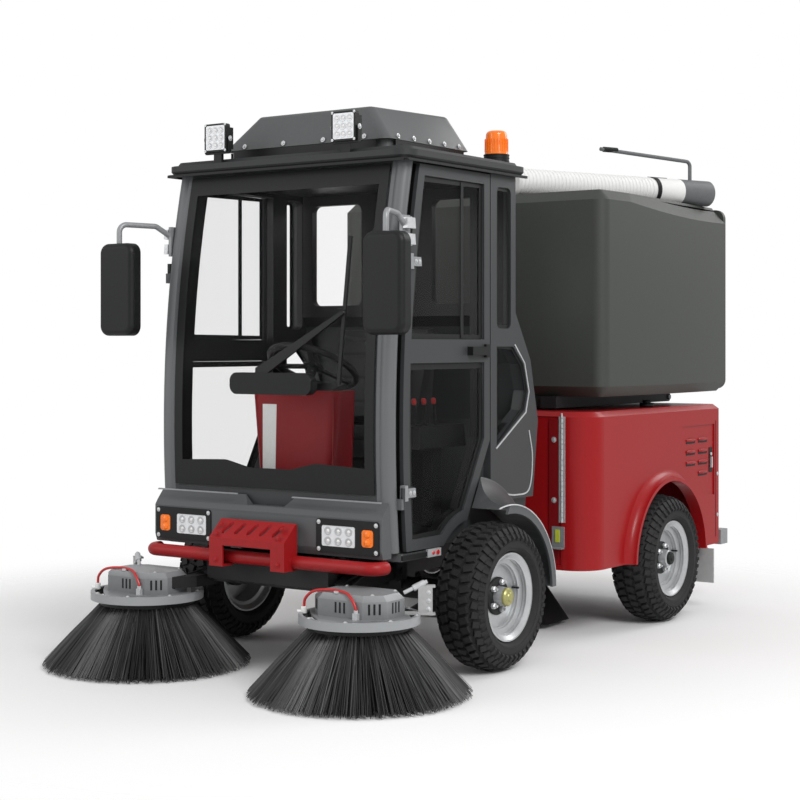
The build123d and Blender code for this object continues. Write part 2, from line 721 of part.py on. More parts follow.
# Windscreen wiper: motor box at the foot of the screen, arm and blade
with BuildPart() as wiper:
    with BuildSketch(front_plane(FRONT_Y + SCREEN_MID + screen_out - 1.2)):
        with Locations((WIPER_BOX_X, WIPER_Z)):
            RectangleRounded(*WIPER_BOX, 34)
    extrude(amount=WIPER_BOX_T)
    sweep_plane = Plane(
        origin=(0, FRONT_Y + SCREEN_MID + screen_out - WIPER_BOX_T + WIPER_T, WIPER_Z),
        x_dir=(1, 0, 0),
        z_dir=(0, -cos(radians(WIPER_LEAN)), sin(radians(WIPER_LEAN))),
    )
    with BuildSketch(sweep_plane):
        with BuildLine():
            Polyline(*WIPER_ARM, close=True)
        make_face()
    extrude(amount=WIPER_T)
    with BuildSketch(sweep_plane):
        with Locations(WIPER_BLADE_AT):
            Rectangle(*WIPER_BLADE, rotation=-2)
    extrude(amount=-WIPER_T)
save(wiper, "wiper")

# Mirrors: bent tube arms on the front pillars, and upright heads
with BuildPart() as mirror_arms:
    for side in SIDES.values():
        arm_x = side * (CAB_HALF + PILLAR_R - 2 + MIRROR_TUBE_R)
        with BuildLine() as arm_line:
            FilletPolyline(
                (arm_x, FRONT_Y - 470, 1700),
                (arm_x + side * 20, FRONT_Y - 560, 1750),
                (side * MIRROR_X, FRONT_Y - MIRROR_AHEAD, 1752),
                (side * MIRROR_X, FRONT_Y - MIRROR_AHEAD, MIRROR_Z + MIRROR_H / 2 + SEAT),
                radius=MIRROR_BEND_R,
            )
        with BuildSketch(Plane(origin=arm_line.line @ 0, z_dir=arm_line.line % 0)):
            Circle(MIRROR_TUBE_R)
        sweep(path=arm_line.line)
        with BuildSketch(side_plane(FRONT_Y, side * (CAB_HALF + PILLAR_R - 2 + SEAT))):
            with Locations(MIRROR_FOOT):
                Rectangle(*MIRROR_FOOT_SIZE[:2])
        extrude(amount=side * MIRROR_FOOT_SIZE[2])
save(mirror_arms, "mirror_arms")

with BuildPart() as mirror_heads:
    for side in SIDES.values():
        with BuildSketch(front_plane(FRONT_Y - MIRROR_AHEAD + MIRROR_T / 2)):
            with Locations((side * MIRROR_X, MIRROR_Z)):
                RectangleRounded(MIRROR_W, MIRROR_H, 40)
        extrude(amount=MIRROR_T)
    fillet(mirror_heads.faces().group_by(Axis.Y)[0].edges(), 22)
save(mirror_heads, "mirror_heads")

# Seat, on its plinth over the floor
with BuildPart() as seat:
    with BuildSketch(side_plane(FRONT_Y)):
        with BuildLine():
            Polyline(
                (SEAT_FOOT[0], SEAT_Z + SEAT), *SEAT_SIDE, (SEAT_FOOT[1], SEAT_Z + SEAT), close=True,
            )
        make_face()
    extrude(amount=SEAT_HALF, both=True)
save(seat, "seat")

# Steering console: a tapered red column with the wheel on top
wheel_base = Plane(
    origin=(0, FRONT_Y - WHEEL_AHEAD, CONSOLE_TOP_Z),
    z_dir=(0, sin(radians(WHEEL_TILT)), cos(radians(WHEEL_TILT))),
)
with BuildPart() as console:
    with BuildSketch(Plane.XY.offset(SEAT_Z + SEAT)):
        with Locations((0, FRONT_Y - CONSOLE_FOOT_AHEAD)):
            RectangleRounded(*CONSOLE_FOOT, 30)
    with BuildSketch(Plane.XY.offset(CONSOLE_TOP_Z)):
        with Locations((0, FRONT_Y - CONSOLE_HEAD_AHEAD)):
            RectangleRounded(*CONSOLE_HEAD, 40)
    loft()
    with BuildSketch(Plane(origin=wheel_base.origin - wheel_base.z_dir * 40, z_dir=wheel_base.z_dir)):
        Circle(COLUMN_R + 14)
    extrude(amount=40 + BOSS_H)
save(console, "console")

with BuildPart() as steering_wheel:
    with BuildSketch(wheel_base.offset(BOSS_H + SEAT)):
        Circle(COLUMN_R)
    extrude(amount=COLUMN_H - BOSS_H - SEAT)
    with BuildSketch(wheel_base.offset(COLUMN_H)):
        Circle(42)
        for turn in range(SPOKES):
            with Locations(Rotation(0, 0, 90 + 360 / SPOKES * turn)):
                with Locations((SPOKE[0] / 2, 0)):
                    Rectangle(*SPOKE)
    extrude(amount=10)
    ring_centre = wheel_base.origin + wheel_base.z_dir * (COLUMN_H + 5)
    with BuildSketch(Plane(origin=ring_centre, x_dir=wheel_base.z_dir, z_dir=(1, 0, 0))):
        with Locations((0, STEER_R)):
            Circle(STEER_GRIP_R)
    revolve(axis=Axis(wheel_base.origin, wheel_base.z_dir))
save(steering_wheel, "steering_wheel")

# Front frame: two rails, crossmembers, the skid tray and the articulation yoke
with BuildPart() as front_frame:
    rail_mid = (RAIL_LOW_Z + RAIL_TOP_Z) / 2
    rail_h = RAIL_TOP_Z - RAIL_LOW_Z
    with BuildSketch(Plane.XY.offset(RAIL_LOW_Z)):
        with Locations(*[(x, FRONT_Y + sum(FRONT_RAIL) / 2) for x in (RAIL_X, -RAIL_X)]):
            Rectangle(RAIL_W, FRONT_RAIL[1] - FRONT_RAIL[0])
        with Locations(*[(0, FRONT_Y + y) for y in FRONT_CROSS]):
            Rectangle(2 * RAIL_X, CROSS_W)
    extrude(amount=rail_h)
    # mounts up to the cab floor
    with BuildSketch(Plane.XY.offset(RAIL_TOP_Z)):
        with Locations(*[(x, FRONT_Y + y) for x in (RAIL_X, -RAIL_X) for y in CAB_MOUNTS]):
            Circle(28)
    extrude(amount=FLOOR_Z - RAIL_TOP_Z)
    # skid tray under the nose
    with BuildSketch(side_plane(FRONT_Y)):
        with BuildLine():
            Polyline(
                *TRAY_SIDE, (TRAY_SIDE[-1][0], RAIL_LOW_Z), (TRAY_SIDE[0][0] + 20, RAIL_LOW_Z), close=True,
            )
        make_face()
    extrude(amount=TRAY_HALF, both=True)
    # articulation yoke, above and below the rear frame's tongue
    for z in (YOKE_LOW_Z - YOKE_T, YOKE_TOP_Z):
        with BuildSketch(Plane.XY.offset(z)):
            with BuildLine():
                Polyline(
                    (-RAIL_X, FRONT_Y + FRONT_CROSS[-1] - CROSS_W / 2),
                    (RAIL_X, FRONT_Y + FRONT_CROSS[-1] - CROSS_W / 2),
                    (YOKE_R, FRONT_Y + PIVOT), (-YOKE_R, FRONT_Y + PIVOT), close=True,
                )
            make_face()
            with Locations((0, FRONT_Y + PIVOT)):
                Circle(YOKE_R)
        extrude(amount=YOKE_T)
    with BuildSketch(Plane.XY.offset(YOKE_LOW_Z - YOKE_T)):
        with Locations((0, FRONT_Y + FRONT_CROSS[-1])):
            Rectangle(2 * RAIL_X, CROSS_W)
    extrude(amount=YOKE_TOP_Z + 2 * YOKE_T - YOKE_LOW_Z)
    with BuildSketch(Plane.XY.offset(YOKE_LOW_Z - YOKE_T - 12)):
        with Locations((0, FRONT_Y + PIVOT)):
            Circle(PIN_R)
    extrude(amount=YOKE_TOP_Z - YOKE_LOW_Z + 2 * YOKE_T + 24)
    # ears that carry the brush arms
    for side in SIDES.values():
        for x in (ARM_X - ARM_W / 2 - 16, ARM_X + ARM_W / 2 + 4):
            with BuildSketch(side_plane(FRONT_Y, side * x)):
                with Locations((ARM_PIVOT, ARM_PIVOT_Z)):
                    Rectangle(70, 70)
            extrude(amount=side * 12)
        with BuildSketch(side_plane(FRONT_Y, side * (RAIL_X + RAIL_W / 2))):
            with Locations((ARM_PIVOT, ARM_PIVOT_Z)):
                Circle(ARM_PIN_R)
        extrude(amount=side * (ARM_X + ARM_W / 2 + 22 - RAIL_X - RAIL_W / 2))
        with BuildSketch(side_plane(FRONT_Y, side * (RAIL_X + RAIL_W / 2))):
            with Locations((ARM_PIVOT, ARM_PIVOT_Z)):
                Rectangle(70, 70)
        extrude(amount=side * (ARM_X - ARM_W / 2 - 4 - RAIL_X - RAIL_W / 2))
save(front_frame, "front_frame")


def build_axle(name, station_y, saddle_top):
    """Axle beam with a flange and a stub for each wheel, and saddles up to the frame."""
    flange_x = lip_x - DISC_IN - DISC_T - 10
    with BuildPart() as axle:
        stub_end = flange_x + 10 + DISC_T
        for radius, reach in ((AXLE_R, flange_x - 20), (HUB_FLANGE_R, flange_x), (STUB_R, stub_end)):
            if radius == HUB_FLANGE_R:
                for side in SIDES.values():
                    with BuildSketch(side_plane(station_y, side * reach)):
                        with Locations((0, TYRE_R)):
                            Circle(radius)
                    extrude(amount=-side * 24)
            else:
                with BuildSketch(side_plane(station_y)):
                    with Locations((0, TYRE_R)):
                        Circle(radius)
                extrude(amount=reach, both=True)
        with BuildSketch(Plane.XY.offset(TYRE_R)):
            with Locations((RAIL_X, station_y), (-RAIL_X, station_y)):
                Rectangle(RAIL_W, 100)
        extrude(amount=saddle_top - TYRE_R)
        with BuildSketch(front_plane(station_y - 70)):
            with Locations((0, TYRE_R)):
                Circle(75)
        extrude(amount=-140)
    save(axle, name)


build_axle("front_axle", FRONT_Y, RAIL_LOW_Z)
build_axle("rear_axle", REAR_Y, RAIL_LOW_Z)

# Wheels: a tyre and a dished steel rim at each corner
centre = TRACK / 2
half = TYRE_W / 2
bead = lip_x - FLANGE_T - FLANGE_RUN - 1 - centre
outer_half = [
    (0, TYRE_R),
    (half - 48, TYRE_R - 7),
    (half - 20, TYRE_R - 22),
    (half - 5, TYRE_R - 44),
    (half, TYRE_R - 68),
    (half - 5, RIM_R + 18),
    (bead + FLANGE_RUN + 2, RIM_R + 2),
    (bead, BEAD_R + SEAT),
]
tyre_half = [(-across, r) for across, r in reversed(outer_half[1:])] + outer_half
inner = lip_x - RIM_W
disc = lip_x - DISC_IN
rim_section = [
    (lip_x, RIM_R),
    (lip_x, RIM_R - 6),
    (lip_x - 12, BEAD_R - 8),
    (lip_x - 34, BEAD_R - 10),
    (lip_x - 40, BEAD_R - 30),
    (disc, BEAD_R - 34),
    (disc, HUB_R + 30),
    (disc + 8, HUB_R + 12),
    (disc + 8, HUB_R),
    (disc + 44, HUB_R - 4),
    (disc + 50, HUB_R - 14),
    (disc + 50, 0),
    (disc + SEAT, 0),
    (disc + SEAT, STUB_R + RUNNING),
    (disc - DISC_T, STUB_R + RUNNING),
    (disc - DISC_T, BEAD_R - 30),
    (inner + 24, BEAD_R - 24),
    (inner + 20, BEAD_R - 10),
    (inner, RIM_R - 6),
    (inner, RIM_R),
    (inner + FLANGE_T, RIM_R),
    (inner + FLANGE_T + FLANGE_RUN, BEAD_R),
    (lip_x - FLANGE_T - FLANGE_RUN, BEAD_R),
    (lip_x - FLANGE_T, RIM_R),
]
for axle_name, station_y in (("front", FRONT_Y), ("rear", REAR_Y)):
    for side_name, side in SIDES.items():
        with BuildPart() as tyre:
            with BuildSketch(wheel_plane(station_y)):
                with BuildLine():
                    Polyline(*[(side * (centre + across), r) for across, r in tyre_half], close=True)
                make_face()
            revolve(axis=wheel_axis(station_y))
        save(tyre, f"tyre_{axle_name}_{side_name}")
        with BuildPart() as rim:
            with BuildSketch(wheel_plane(station_y)):
                with BuildLine():
                    Polyline(*[(side * x, r) for x, r in rim_section], close=True)
                make_face()
            revolve(axis=wheel_axis(station_y))
            # wheel studs
            with BuildSketch(side_plane(station_y, side * (disc - 1))):
                with Locations((0, TYRE_R)):
                    with PolarLocations(STUD_PCD / 2, STUDS):
                        Circle(STUD_R)
            extrude(amount=side * 22)
        save(rim, f"rim_{axle_name}_{side_name}")

# Doors: frame, glass and a pull handle
for side_name, side in SIDES.items():
    inner_x = side * (door_face - DOOR_T)
    with BuildPart() as door:
        with BuildSketch(side_plane(FRONT_Y, inner_x)):
            add(door_outline())
        extrude(amount=side * DOOR_T)
        with BuildSketch(side_plane(FRONT_Y, inner_x)):
            add(door_outline(DOOR_FRAME))
            with Locations((0, WAIST_Z)):
                Rectangle(2000, RAIL_H, mode=Mode.SUBTRACT)
        extrude(amount=side * DOOR_T, mode=Mode.SUBTRACT)
        with BuildSketch(side_plane(FRONT_Y, side * door_face)):
            with Locations((20, WAIST_Z)):
                RectangleRounded(110, 26, 10)
        extrude(amount=side * 22)
        for hinge_z in HINGE_ZS:
            with BuildSketch(Plane.XY.offset(hinge_z)):
                with Locations((side * hinge_x, hinge_y)):
                    Circle(HINGE_R)
                with Locations((side * (hinge_x - 2), hinge_y + 30)):
                    Rectangle(12, 60)
            extrude(amount=HINGE_H)
            with BuildSketch(Plane.XY.offset(hinge_z)):
                with Locations((side * hinge_x, hinge_y)):
                    Circle(HINGE_PIN_R + RUNNING)
            extrude(amount=HINGE_H, mode=Mode.SUBTRACT)
    save(door, f"door_{side_name}")
    with BuildPart() as door_glass:
        with BuildSketch(side_plane(FRONT_Y, inner_x + side * 11)):
            add(door_outline(DOOR_FRAME + SEAT))
            with Locations((0, WAIST_Z)):
                Rectangle(2000, RAIL_H + 2 * SEAT, mode=Mode.SUBTRACT)
        extrude(amount=side * GLASS_T)
    save(door_glass, f"door_glass_{side_name}")

def motor_outline(x, y, inset=0.0):
    """Plan of a brush's motor cover."""
    with BuildSketch() as outline:
        with Locations((x, y)):
            cover = Rectangle(*COVER)
        chamfer(cover.vertices(), COVER_CHAMFER)
        if inset:
            offset(amount=-inset, kind=Kind.INTERSECTION, mode=Mode.REPLACE)
    return outline.sketch


# Side brushes
brush_y = FRONT_Y - BRUSH_AHEAD
for side_name, side in SIDES.items():
    brush_x = side * BRUSH_X
    section = Plane(origin=(brush_x, brush_y, 0), x_dir=(1, 0, 0), z_dir=(0, -1, 0))
    spin = Axis((brush_x, brush_y, 0), (0, 0, 1))
    with BuildPart() as brush:
        with BuildSketch(section):
            with BuildLine():
                Polyline(
                    (0, BRISTLE_TOP_Z + PLATE_H), (BRISTLE_TOP_R, BRISTLE_TOP_Z + PLATE_H),
                    (BRISTLE_TOP_R, BRISTLE_TOP_Z), (BRUSH_R - 40, 52), (BRUSH_R, BRUSH_TIP_Z),
                    (BRUSH_R - 110, BRUSH_TIP_Z), (BRISTLE_TOP_R - 50, BRISTLE_TOP_Z - 14),
                    (0, BRISTLE_TOP_Z - 14), close=True,
                )
            make_face()
        revolve(axis=spin)
    save(brush, f"brush_{side_name}")
    with BuildPart() as brush_cover:
        with BuildSketch(Plane.XY.offset(GUARD_LOW_Z)):
            with Locations((brush_x, brush_y)):
                Circle(GUARD_R)
        extrude(amount=GUARD_H)
        with BuildSketch(Plane.XY.offset(GUARD_LOW_Z)):
            with Locations((brush_x, brush_y)):
                Circle(GUARD_R - GUARD_T)
        extrude(amount=GUARD_H - GUARD_T, mode=Mode.SUBTRACT)
        # crescent openings in the guard
        with BuildSketch(Plane.XY.offset(GUARD_LOW_Z)):
            for quarter in range(4):
                with Locations((brush_x, brush_y)):
                    with Locations(Rotation(0, 0, 45 + 90 * quarter)):
                        with BuildLine(mode=Mode.PRIVATE) as crescent:
                            reach = GUARD_R - 2 * GUARD_T
                            tips = [(reach * cos(radians(a)), reach * sin(radians(a))) for a in (-36, 36)]
                            ThreePointArc(tips[0], (reach, 0), tips[1])
                            ThreePointArc(tips[1], (reach - 34, 0), tips[0])
                        add(make_face(crescent.edges(), mode=Mode.PRIVATE))
        extrude(amount=GUARD_H, mode=Mode.SUBTRACT)
        with BuildSketch(Plane.XY.offset(GUARD_LOW_Z + GUARD_H - GUARD_T)):
            add(motor_outline(brush_x, brush_y))
        extrude(amount=COVER_TOP_Z - GUARD_LOW_Z - GUARD_H + GUARD_T)
        chamfer(brush_cover.edges().group_by(Axis.Z)[-1], COVER_BEVEL)
        with BuildSketch(Plane.XY.offset(BRISTLE_TOP_Z + PLATE_H + SEAT)):
            with Locations((brush_x, brush_y)):
                Circle(24)
        extrude(amount=GUARD_LOW_Z + GUARD_H - BRISTLE_TOP_Z - PLATE_H - 4)
    save(brush_cover, f"brush_cover_{side_name}")
    # arm from the frame's ears, outboard and forward to the motor
    with BuildPart() as brush_arm:
        with BuildSketch(side_plane(FRONT_Y, side * (ARM_X - ARM_W / 2))):
            with BuildLine():
                Polyline(
                    (ARM_PIVOT + 30, ARM_PIVOT_Z - 25), (ARM_PIVOT + 30, ARM_PIVOT_Z + 25),
                    (-500, ARM_PIVOT_Z + 10), (-560, 372), (-560, 322), (-470, 332), close=True,
                )
            make_face()
        extrude(amount=side * ARM_W)
        with BuildSketch(Plane.XY.offset(318)):
            with BuildLine():
                Polyline(
                    (side * (ARM_X - ARM_W / 2), FRONT_Y - 520), (side * (ARM_X - ARM_W / 2), FRONT_Y - 640),
                    (side * (BRUSH_X - COVER[0] / 2 + 6), brush_y - 40),
                    (side * (BRUSH_X - COVER[0] / 2 + 6), brush_y + 40),
                    (side * (ARM_X + ARM_W / 2), FRONT_Y - 520), close=True,
                )
            make_face()
        extrude(amount=44)
        with BuildSketch(side_plane(FRONT_Y)):
            with Locations((ARM_PIVOT, ARM_PIVOT_Z)):
                Circle(ARM_PIN_R + RUNNING)
        extrude(amount=1000, both=True, mode=Mode.SUBTRACT)
        with BuildSketch(Plane.XY):
            add(motor_outline(brush_x, brush_y, -SEAT))
        extrude(amount=1000, mode=Mode.SUBTRACT)
    save(brush_arm, f"brush_arm_{side_name}")

# Rear frame: rails, crossmembers, tongue and rear bumper
with BuildPart() as rear_frame:
    with BuildSketch(Plane.XY.offset(RAIL_LOW_Z)):
        with Locations((RAIL_X, REAR_Y), (-RAIL_X, REAR_Y)):
            Rectangle(RAIL_W, REAR_RAIL[1] - REAR_RAIL[0])
        with Locations(*[(0, REAR_Y + y) for y in REAR_CROSS]):
            Rectangle(2 * RAIL_X, CROSS_W)
    extrude(amount=rail_h)
    with BuildSketch(Plane.XY.offset(YOKE_LOW_Z + 2)):
        with BuildLine():
            Polyline(
                (-RAIL_X, REAR_Y + REAR_CROSS[0]), (RAIL_X, REAR_Y + REAR_CROSS[0]),
                (YOKE_R, FRONT_Y + PIVOT), (-YOKE_R, FRONT_Y + PIVOT), close=True,
            )
        make_face()
        with Locations((0, FRONT_Y + PIVOT)):
            Circle(YOKE_R)
            Circle(PIN_R + RUNNING, mode=Mode.SUBTRACT)
    extrude(amount=YOKE_TOP_Z - YOKE_LOW_Z - 4)
    # rear bumper
    with BuildSketch(Plane.XY.offset(TAIL_BAR_Z)):
        with Locations((0, REAR_Y + TAIL - TAIL_BAR[0] / 2)):
            Rectangle(2 * BODY_HALF, TAIL_BAR[0])
    extrude(amount=TAIL_BAR[1])
    with BuildSketch(Plane.XY.offset(RAIL_LOW_Z)):
        with Locations((RAIL_X, REAR_Y + REAR_RAIL[1]), (-RAIL_X, REAR_Y + REAR_RAIL[1])):
            Rectangle(RAIL_W, 90)
    extrude(amount=TAIL_BAR_Z + TAIL_BAR[1] - RAIL_LOW_Z)
    # posts that carry the red body and the hopper's hinge
    with BuildSketch(Plane.XY.offset(RAIL_TOP_Z)):
        with Locations((RAIL_X, REAR_Y - POSTS_AHEAD), (-RAIL_X, REAR_Y - POSTS_AHEAD)):
            Rectangle(RAIL_W, 60)
    extrude(amount=BODY_TOP_Z - BODY_WALL - SEAT - RAIL_TOP_Z)
    with BuildSketch(Plane.XY.offset(RAIL_TOP_Z - 20)):
        with Locations((0, REAR_Y + TIP_BEHIND)):
            Rectangle(2 * TIP_POST_X + POST, POST)
    extrude(amount=20)
    with BuildSketch(Plane.XY.offset(RAIL_TOP_Z - 20)):
        with Locations((TIP_POST_X, REAR_Y + TIP_BEHIND), (-TIP_POST_X, REAR_Y + TIP_BEHIND)):
            Rectangle(POST, POST)
    extrude(amount=TIP_Z + TIP_END_R - RAIL_TOP_Z + 20)
    for side in SIDES.values():
        with BuildSketch(side_plane(REAR_Y, side * TIP_POST_X)):
            with Locations((TIP_BEHIND, TIP_Z)):
                Circle(TIP_PIN_R)
        extrude(amount=side * (TIP_RAIL_X + TIP_RAIL_W / 2 + 8 - TIP_POST_X))
    # holes for a hitch in the rear bumper
    with BuildSketch(front_plane(REAR_Y + TAIL)):
        with Locations((0, HITCH_Z)):
            with GridLocations(HITCH_X, HITCH_H, 2, 2):
                Circle(HITCH_R)
    extrude(amount=90, mode=Mode.SUBTRACT)
save(rear_frame, "rear_frame")

def body_plan(inset=0.0):
    """Plan of the red body, rounder at its front corners."""
    length = BODY_REAR - BODY_FRONT - 2 * inset
    with BuildSketch() as plan:
        with Locations((0, REAR_Y + (BODY_REAR + BODY_FRONT) / 2)):
            block = Rectangle(2 * (BODY_HALF - inset), length)
        corners = block.vertices().group_by(Axis.Y)
        fillet(corners[0], BODY_CORNER_R - inset)
        fillet(corners[-1], BODY_TAIL_R - inset)
    return plan.sketch


# Red rear body: an open-bottomed shell over the rear wheels
with BuildPart() as body_shell:
    with BuildSketch(Plane.XY.offset(BODY_LOW_Z)):
        add(body_plan())
    extrude(amount=BODY_TOP_Z - BODY_LOW_Z)
    chamfer(body_shell.faces().sort_by(Axis.Z)[-1].edges(), BODY_BEVEL)
    with BuildSketch(Plane.XY.offset(BODY_LOW_Z)):
        add(body_plan(BODY_WALL))
    extrude(amount=BODY_TOP_Z - BODY_LOW_Z - BODY_WALL, mode=Mode.SUBTRACT)
    # flared lips round the wheel arches
    for side in SIDES.values():
        with BuildSketch(wheel_plane(REAR_Y)):
            with BuildLine():
                root = side * (BODY_HALF - BODY_WALL / 2)
                lip = side * BODY_LIP_HALF
                lip_top, lip_low = (BODY_ARCH_R + rise for rise in BODY_LIP)
                out, up = BODY_FLARE_HOLLOW
                hollow = (side * (BODY_HALF + out * BODY_FLARE_OUT), lip_top + up * (BODY_FLARE_R - lip_top))
                ThreePointArc((side * BODY_HALF, BODY_FLARE_R), hollow, (lip, lip_top))
                Line((lip, lip_top), (lip, lip_low))
                Line((lip, lip_low), (root, lip_low))
                Line((root, lip_low), (root, BODY_FLARE_R))
                Line((root, BODY_FLARE_R), (side * BODY_HALF, BODY_FLARE_R))
            make_face()
        revolve(axis=wheel_axis(REAR_Y))
    split(bisect_by=Plane.XY.offset(BODY_LOW_Z), keep=Keep.TOP)
    with BuildSketch(side_plane(REAR_Y)):
        with Locations((0, TYRE_R)):
            Circle(BODY_ARCH_R)
    extrude(amount=BODY_LIP_HALF + 1, both=True, mode=Mode.SUBTRACT)
    # shallow recess for the louvres, and one in the front face between the side covers
    for side in SIDES.values():
        with BuildSketch(side_plane(REAR_Y, side * (BODY_HALF + 1))):
            with BuildLine():
                Polyline(*LOUVRE_RECESS, close=True)
            make_face()
        extrude(amount=-side * (RECESS + 1), mode=Mode.SUBTRACT)
    with BuildSketch(front_plane(REAR_Y + BODY_FRONT - 1)):
        with Locations((0, (BODY_LOW_Z + BODY_TOP_Z) / 2)):
            Rectangle(2 * COVER_EDGE_X, BODY_TOP_Z - BODY_LOW_Z - 40)
    extrude(amount=-RECESS - 1, mode=Mode.SUBTRACT)
    # passage for the tongue, in the front face
    with BuildSketch(front_plane(REAR_Y + BODY_FRONT - 10)):
        with Locations((0, BODY_LOW_Z)):
            Rectangle(2 * TONGUE_PASSAGE[0], 2 * TONGUE_PASSAGE[1])
    extrude(amount=-40, mode=Mode.SUBTRACT)
    # passages for the rails and for the tipping posts
    with BuildSketch(front_plane(REAR_Y + BODY_REAR - 60)):
        with Locations((0, BODY_LOW_Z)):
            Rectangle(2 * (RAIL_X + RAIL_W / 2 + PASSAGE), 2 * (RAIL_TOP_Z + PASSAGE - BODY_LOW_Z))
    extrude(amount=-100, mode=Mode.SUBTRACT)
    with BuildSketch(Plane.XY.offset(BODY_TOP_Z - 2 * BODY_WALL)):
        with Locations((TIP_POST_X, REAR_Y + TIP_BEHIND), (-TIP_POST_X, REAR_Y + TIP_BEHIND)):
            Rectangle(POST + 2 * PASSAGE, POST + 2 * PASSAGE)
    extrude(amount=3 * BODY_WALL, mode=Mode.SUBTRACT)
save(body_shell, "body_shell")

# Engine and fan as one block, inside the red body
with BuildPart() as power_block:
    with BuildSketch(Plane.XY.offset(RAIL_TOP_Z + SEAT)):
        with Locations((0, REAR_Y - 10)):
            RectangleRounded(*POWER[:2], 30)
    extrude(amount=POWER[2])
save(power_block, "power_block")

# Suction mouth under the rear body, ahead of the rear wheels
with BuildPart() as suction_mouth:
    with BuildSketch(Plane.XY.offset(MOUTH_LOW_Z)):
        with Locations((0, REAR_Y - MOUTH_AHEAD)):
            RectangleRounded(*MOUTH, 30)
    with BuildSketch(Plane.XY.offset(MOUTH_TOP_Z)):
        with Locations((0, REAR_Y - THROAT_AHEAD)):
            RectangleRounded(*THROAT, 30)
    loft()
    with BuildSketch(Plane.XY.offset(MOUTH_TOP_Z)):
        with Locations((0, REAR_Y - THROAT_AHEAD)):
            Circle(DUCT_R)
    extrude(amount=RAIL_TOP_Z - MOUTH_TOP_Z)
save(suction_mouth, "suction_mouth")

# Mudflaps behind the rear wheels
with BuildPart() as mudflaps:
    for side in SIDES.values():
        with BuildSketch(front_plane(REAR_Y + FLAP_BEHIND)):
            with Locations((side * (TRACK / 2 + 5), (FLAP_LOW_Z + BODY_LOW_Z - GAP) / 2)):
                Rectangle(190, BODY_LOW_Z - GAP - FLAP_LOW_Z)
        extrude(amount=8)
        with BuildSketch(front_plane(REAR_Y + FLAP_BEHIND + 20)):
            with BuildLine():
                low = BODY_LOW_Z - GAP - 30
                Polyline(
                    (side * (RAIL_X + RAIL_W / 2 - 30), RAIL_LOW_Z),
                    (side * (RAIL_X + RAIL_W / 2), RAIL_LOW_Z),
                    (side * (RAIL_X + RAIL_W / 2), low + 30),
                    (side * (TRACK / 2 + 60), low + 30),
                    (side * (TRACK / 2 + 60), low),
                    (side * (RAIL_X + RAIL_W / 2 - 30), low),
                    close=True,
                )
            make_face()
        extrude(amount=20)
save(mudflaps, "mudflaps")


def hopper_plan(inset, rear_end):
    """Plan of the hopper with gently bulging sides."""
    half = HOPPER_HALF - inset
    front = REAR_Y + HOPPER_FRONT + inset
    mid = (front + rear_end) / 2
    with BuildSketch() as plan:
        with BuildLine():
            Line((-half, front), (half, front))
            ThreePointArc((half, front), (half + HOPPER_BULGE, mid), (half, rear_end))
            Line((half, rear_end), (-half, rear_end))
            ThreePointArc((-half, rear_end), (-half - HOPPER_BULGE, mid), (-half, front))
        make_face()
    return plan.sketch


hopper_rear = REAR_Y + TAIL - HOPPER_DOOR_T - GAP
door_hinge = Vector(0, REAR_Y + TAIL - HOPPER_DOOR_T, HOPPER_TOP_Z + DOOR_KNUCKLE_R)
with BuildPart() as hopper_tank:
    with BuildSketch(Plane.XY.offset(HOPPER_LOW_Z)):
        add(hopper_plan(0, hopper_rear))
    extrude(amount=HOPPER_TOP_Z - HOPPER_LOW_Z)
    vertical = hopper_tank.edges().filter_by(Axis.Z).group_by(Axis.Y)[0]
    fillet(vertical, HOPPER_CORNER_R)
    top_and_bottom = hopper_tank.edges().group_by(Axis.Z)[-1] + hopper_tank.edges().group_by(Axis.Z)[0]
    chamfer([e for e in top_and_bottom if e.center().Y < hopper_rear - 1], HOPPER_BEVEL)
    # side bevels that widen towards the rear
    for side in SIDES.values():
        flank = side * (HOPPER_HALF + HOPPER_BULGE)
        low_front = Vector(flank, REAR_Y + HOPPER_FRONT, HOPPER_TOP_Z - HOPPER_BEVEL)
        low_rear = Vector(flank, hopper_rear, HOPPER_TOP_Z - SIDE_BEVEL)
        top_rear = Vector(side * (HOPPER_HALF - SIDE_BEVEL_IN), hopper_rear, HOPPER_TOP_Z)
        normal = (low_rear - low_front).cross(top_rear - low_front).normalized()
        normal = normal if normal.Z > 0 else -normal
        split(bisect_by=Plane(origin=low_front, z_dir=normal), keep=Keep.BOTTOM)
    with BuildSketch(Plane.XY.offset(HOPPER_LOW_Z + HOPPER_WALL)):
        add(hopper_plan(HOPPER_WALL + 40, hopper_rear + 5))
    extrude(amount=HOPPER_TOP_Z - HOPPER_LOW_Z - 2 * HOPPER_WALL, mode=Mode.SUBTRACT)
    # fixed halves of the rear door's hinges, with their pins
    for side in SIDES.values():
        with BuildSketch(side_plane(door_hinge.Y, side * (DOOR_KNUCKLE_X - 60))):
            with Locations((0, door_hinge.Z)):
                Circle(DOOR_KNUCKLE_R)
            with Locations((-14, door_hinge.Z - DOOR_KNUCKLE_R + 3)):
                Rectangle(28, 14)
        extrude(amount=side * (60 - SEAT))
        with BuildSketch(side_plane(door_hinge.Y, side * (DOOR_KNUCKLE_X - 60))):
            with Locations((0, door_hinge.Z)):
                Circle(DOOR_PIN_R)
        extrude(amount=side * 118)
save(hopper_tank, "hopper_tank")

